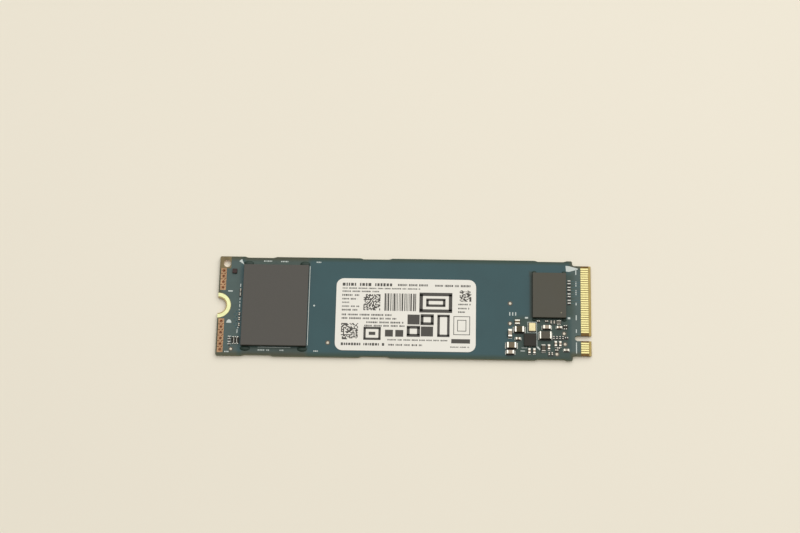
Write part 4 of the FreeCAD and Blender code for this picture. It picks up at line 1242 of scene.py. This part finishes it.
class DRIVE_OT_chips(bpy.types.Operator):
    """Make the chip parts: ceramic, glaze or ferrite between plated ends"""

    bl_idname = "drive.chips"
    bl_label = "Chip parts"

    def execute(self, context):
        look = context.scene.drive_chips
        bodies = {}
        # Bodies and plated ends get painted shade on their walls towards the card.
        for body, (setting, roughness, gloss, slot) in CHIP_BODIES.items():
            colour = getattr(look, setting)
            finish = moulding_finish(body.replace(" ", "_"), colour, roughness, gloss, look.painted_shade_foot)
            bodies[body] = (finish, slot)
        bright = metal_finish("plated_ends", look.tin_colour, 0.35, 0.12 * MM, painted_shade_foot=look.painted_shade_foot)
        dull = metal_finish("dull_plated_ends", look.dull_tin_colour, 0.4, 0.12 * MM, painted_shade_foot=look.painted_shade_foot)
        clearances = bmesh.new()
        for node in sorted(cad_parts):
            family = next((start for start in CHIP_FAMILIES if node.startswith(start)), None)
            if family is None:
                continue
            body, share = CHIP_FAMILIES[family]
            finish, slot = bodies[body]
            bm = bmesh.new()
            for points in solids_of(node):
                low, high = box_of(points)
                self.add_clearance_and_shadow(clearances, low, high, look)
                self.add_chip(bm, low, high, share, family in CROSSWISE, look)
            ends = dull if family in DULL else bright
            place_piece(f"{node}_chip", bm, [finish, ends], slot, [node])
        # Near-black laminate round each part: partly bare laminate, partly painted shade, and a painted
        # shadow in front.
        laminate = ink_finish("dark_laminate", look.clearance_shadow_colour)
        place_piece("mask_clearances", clearances, [laminate], "solder_mask_board")
        return {"FINISHED"}

    def add_clearance_and_shadow(self, bm, low, high, look):
        """Bare laminate where the mask keeps clear of a part, darkened as painted shade, and wider in front
        as a painted shadow.
        """
        top = BOARD_TOP + look.pad_height / 3
        patch_low = (low.x - look.clearance, low.y - look.clearance - look.front_shadow_run, BOARD_TOP)
        patch_high = (high.x + look.clearance, high.y + look.clearance, top)
        add_block(bm, patch_low, patch_high)

    def add_chip(self, bm, low, high, share, crosswise, look):
        """One chip part between two corners, plated at its far ends, or crosswise along its longer sides."""
        size = high - low
        along = 0 if size.x >= size.y else 1
        if crosswise:
            along = 1 - along
        inset = Vector((look.plating, look.plating, 0.0))
        body_low = low + inset
        body_high = high - inset
        body_high.z -= look.plating
        end = size[along] * share
        rounding = look.end_round * min(size.z, end)
        add_block(bm, body_low, body_high, look.plating, 0, 1)
        for side in (0, 1):
            end_low = low.copy()
            end_high = high.copy()
            if side:
                end_low[along] = high[along] - end
            else:
                end_high[along] = low[along] + end
            add_block(bm, end_low, end_high, rounding, 1, 3)


class DRIVE_OT_solder(bpy.types.Operator):
    """Flow hollow fillets of solder and tinned pads at the ends of the chip parts"""

    bl_idname = "drive.solder"
    bl_label = "Solder joints"

    # Steps of a fillet's curve, and the breadth below which a joint is dark with flux.
    steps = 5
    small_breadth = 0.45 * MM

    def execute(self, context):
        look = context.scene.drive_chips
        bm = bmesh.new()
        for points in solids_of("solder_fillets"):
            self.add_fillet(bm, points, look)
        solder = metal_finish("solder", look.solder_colour, 0.34, 0.25 * MM)
        fluxed = metal_finish("fluxed_solder", look.flux_colour, 0.45, 0.25 * MM, 0.3)
        place_piece("solder_joints", bm, [solder, fluxed], "solder", ["solder_fillets"])
        return {"FINISHED"}

    def add_fillet(self, bm, points, look):
        """One hollow fillet that climbs where the plain wedge is tall, on its pad."""
        low, high = box_of(points)
        tall = [point for point in points if point.z > (low.z + high.z) / 2]
        lean = sum(tall, Vector()) / len(tall) - (low + high) / 2
        along = 0 if abs(lean.x) > abs(lean.y) else 1
        wall, toe = (high, low) if lean[along] > 0 else (low, high)
        outline = []
        for step in range(self.steps + 1):
            angle = math.pi / 2 * step / self.steps
            point = low.copy()
            point[along] = wall[along] + (toe[along] - wall[along]) * (1.0 - math.sin(angle))
            point.z = low.z + (high.z - low.z) * (1.0 - math.cos(angle))
            outline.append(point)
        corner = low.copy()
        corner[along] = wall[along]
        outline.append(corner)
        sweep = Vector()
        sweep[1 - along] = high[1 - along] - low[1 - along]
        material = 1 if sweep[1 - along] < self.small_breadth else 0
        add_prism(bm, outline, sweep, material)
        spread = Vector((look.pad_margin, look.pad_margin, 0.0))
        pad_high = Vector((high.x, high.y, low.z + look.pad_height)) + spread
        add_block(bm, low - spread, pad_high, material=material)


# Leaded chips: their moulding and tin, the leads on a side, the leads' pitch and reach in millimetres,
# the share of the height that they take, and the bars that the moulding is split into.
LEADED_CHIPS = {
    "power_chip": ("black", "bright", 4, 0.5, 0.03, 0.3, 1),
    "load_switch": ("black", "dull", 3, 0.5, 0.2, 0.45, 3),
    "logic_chip_1": ("grey", "bright", 3, 0.3, 0.16, 0.6, 1),
    "logic_chip_2": ("black", "dull", 2, 0.44, 0.2, 0.7, 1),
}


class DRIVE_OT_small_packages(bpy.types.Operator):
    """Make the small leaded chips, the sensor and the oscillator"""

    bl_idname = "drive.small_packages"
    bl_label = "Small packages"

    def execute(self, context):
        look = context.scene.drive_chips
        mouldings = {
            "black": moulding_finish("chip_moulding", look.black_colour, 0.5, 0.28),
            "grey": moulding_finish("grey_moulding", look.grey_colour, 0.5, 0.28),
        }
        tins = {
            "bright": metal_finish("lead_tin", look.tin_colour, 0.35, 0.1 * MM),
            "dull": metal_finish("dull_lead_tin", look.dull_tin_colour, 0.4, 0.1 * MM),
        }
        for node, (moulding, tin, leads, pitch, reach, share, bars) in LEADED_CHIPS.items():
            bm = bmesh.new()
            self.add_leaded(bm, node, leads, pitch * MM, reach * MM, share, bars)
            place_piece(f"{node}_body", bm, [mouldings[moulding], tins[tin]], "chip_moulding", [node])
        self.sensor(look)
        self.oscillator(look)
        return {"FINISHED"}

    def sensor(self, look):
        """The rounded temperature sensor."""
        low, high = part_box("temperature_sensor")
        bm = bmesh.new()
        add_block(bm, low, high, 0.06 * MM, 0, 3)
        maroon = moulding_finish("sensor_glass_epoxy", look.sensor_colour, 0.4, 0.3)
        place_piece("temperature_sensor_body", bm, [maroon], "sensor_glass_epoxy", ["temperature_sensor"])

    def oscillator(self, look):
        """The oscillator's ceramic base and its gold lid."""
        dress(["oscillator_base"], moulding_finish("oscillator_ceramic", look.base_colour, 0.5))
        low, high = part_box("oscillator_lid")
        bm = bmesh.new()
        add_block(bm, low, high, 0.03 * MM, 0, 2)
        lid = metal_finish("gold_lid", look.lid_colour, 0.4, 0.1 * MM, 0.08, (1.0, 5.0, 1.0))
        place_piece("oscillator_lid_plate", bm, [lid], "gold_lid", ["oscillator_lid"])

    def add_leaded(self, bm, node, leads, pitch, reach, share, bars):
        """A moulded block, or a row of moulded bars, with rows of leads along two sides."""
        gap = 0.34 * MM
        strip_half = gap * 0.15
        lead_half = pitch * 0.3
        standoff = 0.02 * MM
        moulded_round = 0.05 * MM
        tin_round = 0.01 * MM
        low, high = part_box(node)
        middle = (low + high) / 2
        front = low.y + reach
        back = high.y - reach
        lead_top = low.z + (high.z - low.z) * share
        breadth = (high.x - low.x + gap) / bars - gap
        for bar in range(bars):
            start = low.x + bar * (breadth + gap)
            bar_low = (start, front, low.z + standoff)
            add_block(bm, bar_low, (start + breadth, back, high.z), moulded_round, 0, 2)
        for bar in range(1, bars):
            strip = low.x + bar * (breadth + gap) - gap / 2
            strip_low = (strip - strip_half, front, low.z)
            add_block(bm, strip_low, (strip + strip_half, back, lead_top), tin_round, 1, 1)
        for number in range(leads):
            x = middle.x + (number - (leads - 1) / 2) * pitch
            for side in (low.y, back):
                lead_low = (x - lead_half, side, low.z)
                add_block(bm, lead_low, (x + lead_half, side + reach, lead_top), tin_round, 1, 1)


class DRIVE_OT_stage(bpy.types.Operator):
    """Set the floor, the soft light and the camera"""

    bl_idname = "drive.stage"
    bl_label = "Stage"

    def execute(self, context):
        look = context.scene.drive_stage
        self.lay_floor(look)
        self.light(context.scene, look)
        self.aim_camera(context.scene, look)
        context.scene.view_settings.view_transform = "Standard"
        return {"FINISHED"}

    def lay_floor(self, look):
        """A wide plain floor just under the card."""
        half = 1.5
        gap = 0.01 * MM
        place = Matrix.Translation((0.0, 0.0, -gap))
        bm = bmesh.new()
        bmesh.ops.create_grid(bm, x_segments=1, y_segments=1, size=half, matrix=place)
        mesh = bpy.data.meshes.new("floor")
        bm.to_mesh(mesh)
        bm.free()
        mesh.materials.append(floor_finish(look))
        floor = bpy.data.objects.new("floor", mesh)
        bpy.context.scene.collection.objects.link(floor)

    def light(self, scene, look):
        """Warm light from all round, and a large soft lamp above the back."""
        world = bpy.data.worlds.new("room")
        world.use_nodes = True
        background = world.node_tree.nodes["Background"]
        background.inputs["Color"].default_value = (*look.sky_colour, 1.0)
        background.inputs["Strength"].default_value = look.sky_strength
        scene.world = world
        lamp = bpy.data.lights.new("soft_lamp", "AREA")
        lamp.shape = "SQUARE"
        lamp.size = look.lamp_size
        lamp.energy = look.lamp_power
        holder = bpy.data.objects.new("soft_lamp", lamp)
        holder.location = look.lamp_place
        holder.rotation_euler = (-holder.location).to_track_quat("-Z", "Y").to_euler()
        scene.collection.objects.link(holder)

    def aim_camera(self, scene, look):
        """Look down on the card from the front, as a hand-held camera would."""
        back = Vector((
            math.sin(look.azimuth) * math.cos(look.elevation),
            -math.cos(look.azimuth) * math.cos(look.elevation),
            math.sin(look.elevation),
        ))
        level = (-back).cross(Vector((0.0, 0.0, 1.0))).normalized()
        upright = level.cross(-back)
        right = math.cos(look.roll) * level + math.sin(look.roll) * upright
        up = math.cos(look.roll) * upright - math.sin(look.roll) * level
        camera = bpy.data.cameras.new("camera")
        camera.lens = look.focal_length
        camera.sensor_width = look.sensor_width
        camera.clip_start = 0.01
        holder = bpy.data.objects.new("camera", camera)
        turn = Matrix((right, up, back)).transposed().to_4x4()
        holder.matrix_world = Matrix.Translation(Vector(look.target) + back * look.distance) @ turn
        scene.collection.objects.link(holder)
        scene.camera = holder


OPERATORS = (
    DRIVE_OT_board,
    DRIVE_OT_traces,
    DRIVE_OT_marks,
    DRIVE_OT_packages,
    DRIVE_OT_bonds,
    DRIVE_OT_label,
    DRIVE_OT_print,
    DRIVE_OT_chips,
    DRIVE_OT_solder,
    DRIVE_OT_small_packages,
    DRIVE_OT_stage,
)
SETTINGS = {
    "drive_board": BoardLook,
    "drive_packages": PackageLook,
    "drive_chips": ChipLook,
    "drive_label": LabelLook,
    "drive_stage": StageLook,
}


class DRIVE_PT_looks(bpy.types.Panel):
    """Lists the steps that dress the card"""

    bl_idname = "DRIVE_PT_looks"
    bl_label = "Drive looks"
    bl_space_type = "VIEW_3D"
    bl_region_type = "UI"
    bl_category = "Drive"

    def draw(self, context):
        for operator in OPERATORS:
            self.layout.operator(operator.bl_idname)


def register():
    """Register the settings, the steps and the panel."""
    for name, group in SETTINGS.items():
        bpy.utils.register_class(group)
        setattr(bpy.types.Scene, name, PointerProperty(type=group))
    for made in (*OPERATORS, DRIVE_PT_looks):
        bpy.utils.register_class(made)


def unregister():
    """Take away what register added."""
    for made in (DRIVE_PT_looks, *reversed(OPERATORS)):
        bpy.utils.unregister_class(made)
    for name, group in SETTINGS.items():
        delattr(bpy.types.Scene, name)
        bpy.utils.unregister_class(group)


def main():
    """Dress the card step by step."""
    register()
    bpy.ops.drive.board()
    bpy.ops.drive.traces()
    bpy.ops.drive.marks()
    bpy.ops.drive.packages()
    bpy.ops.drive.bonds()
    bpy.ops.drive.label()
    bpy.ops.drive.print()
    bpy.ops.drive.chips()
    bpy.ops.drive.solder()
    bpy.ops.drive.small_packages()
    bpy.ops.drive.stage()


if __name__ == "__main__":
    main()
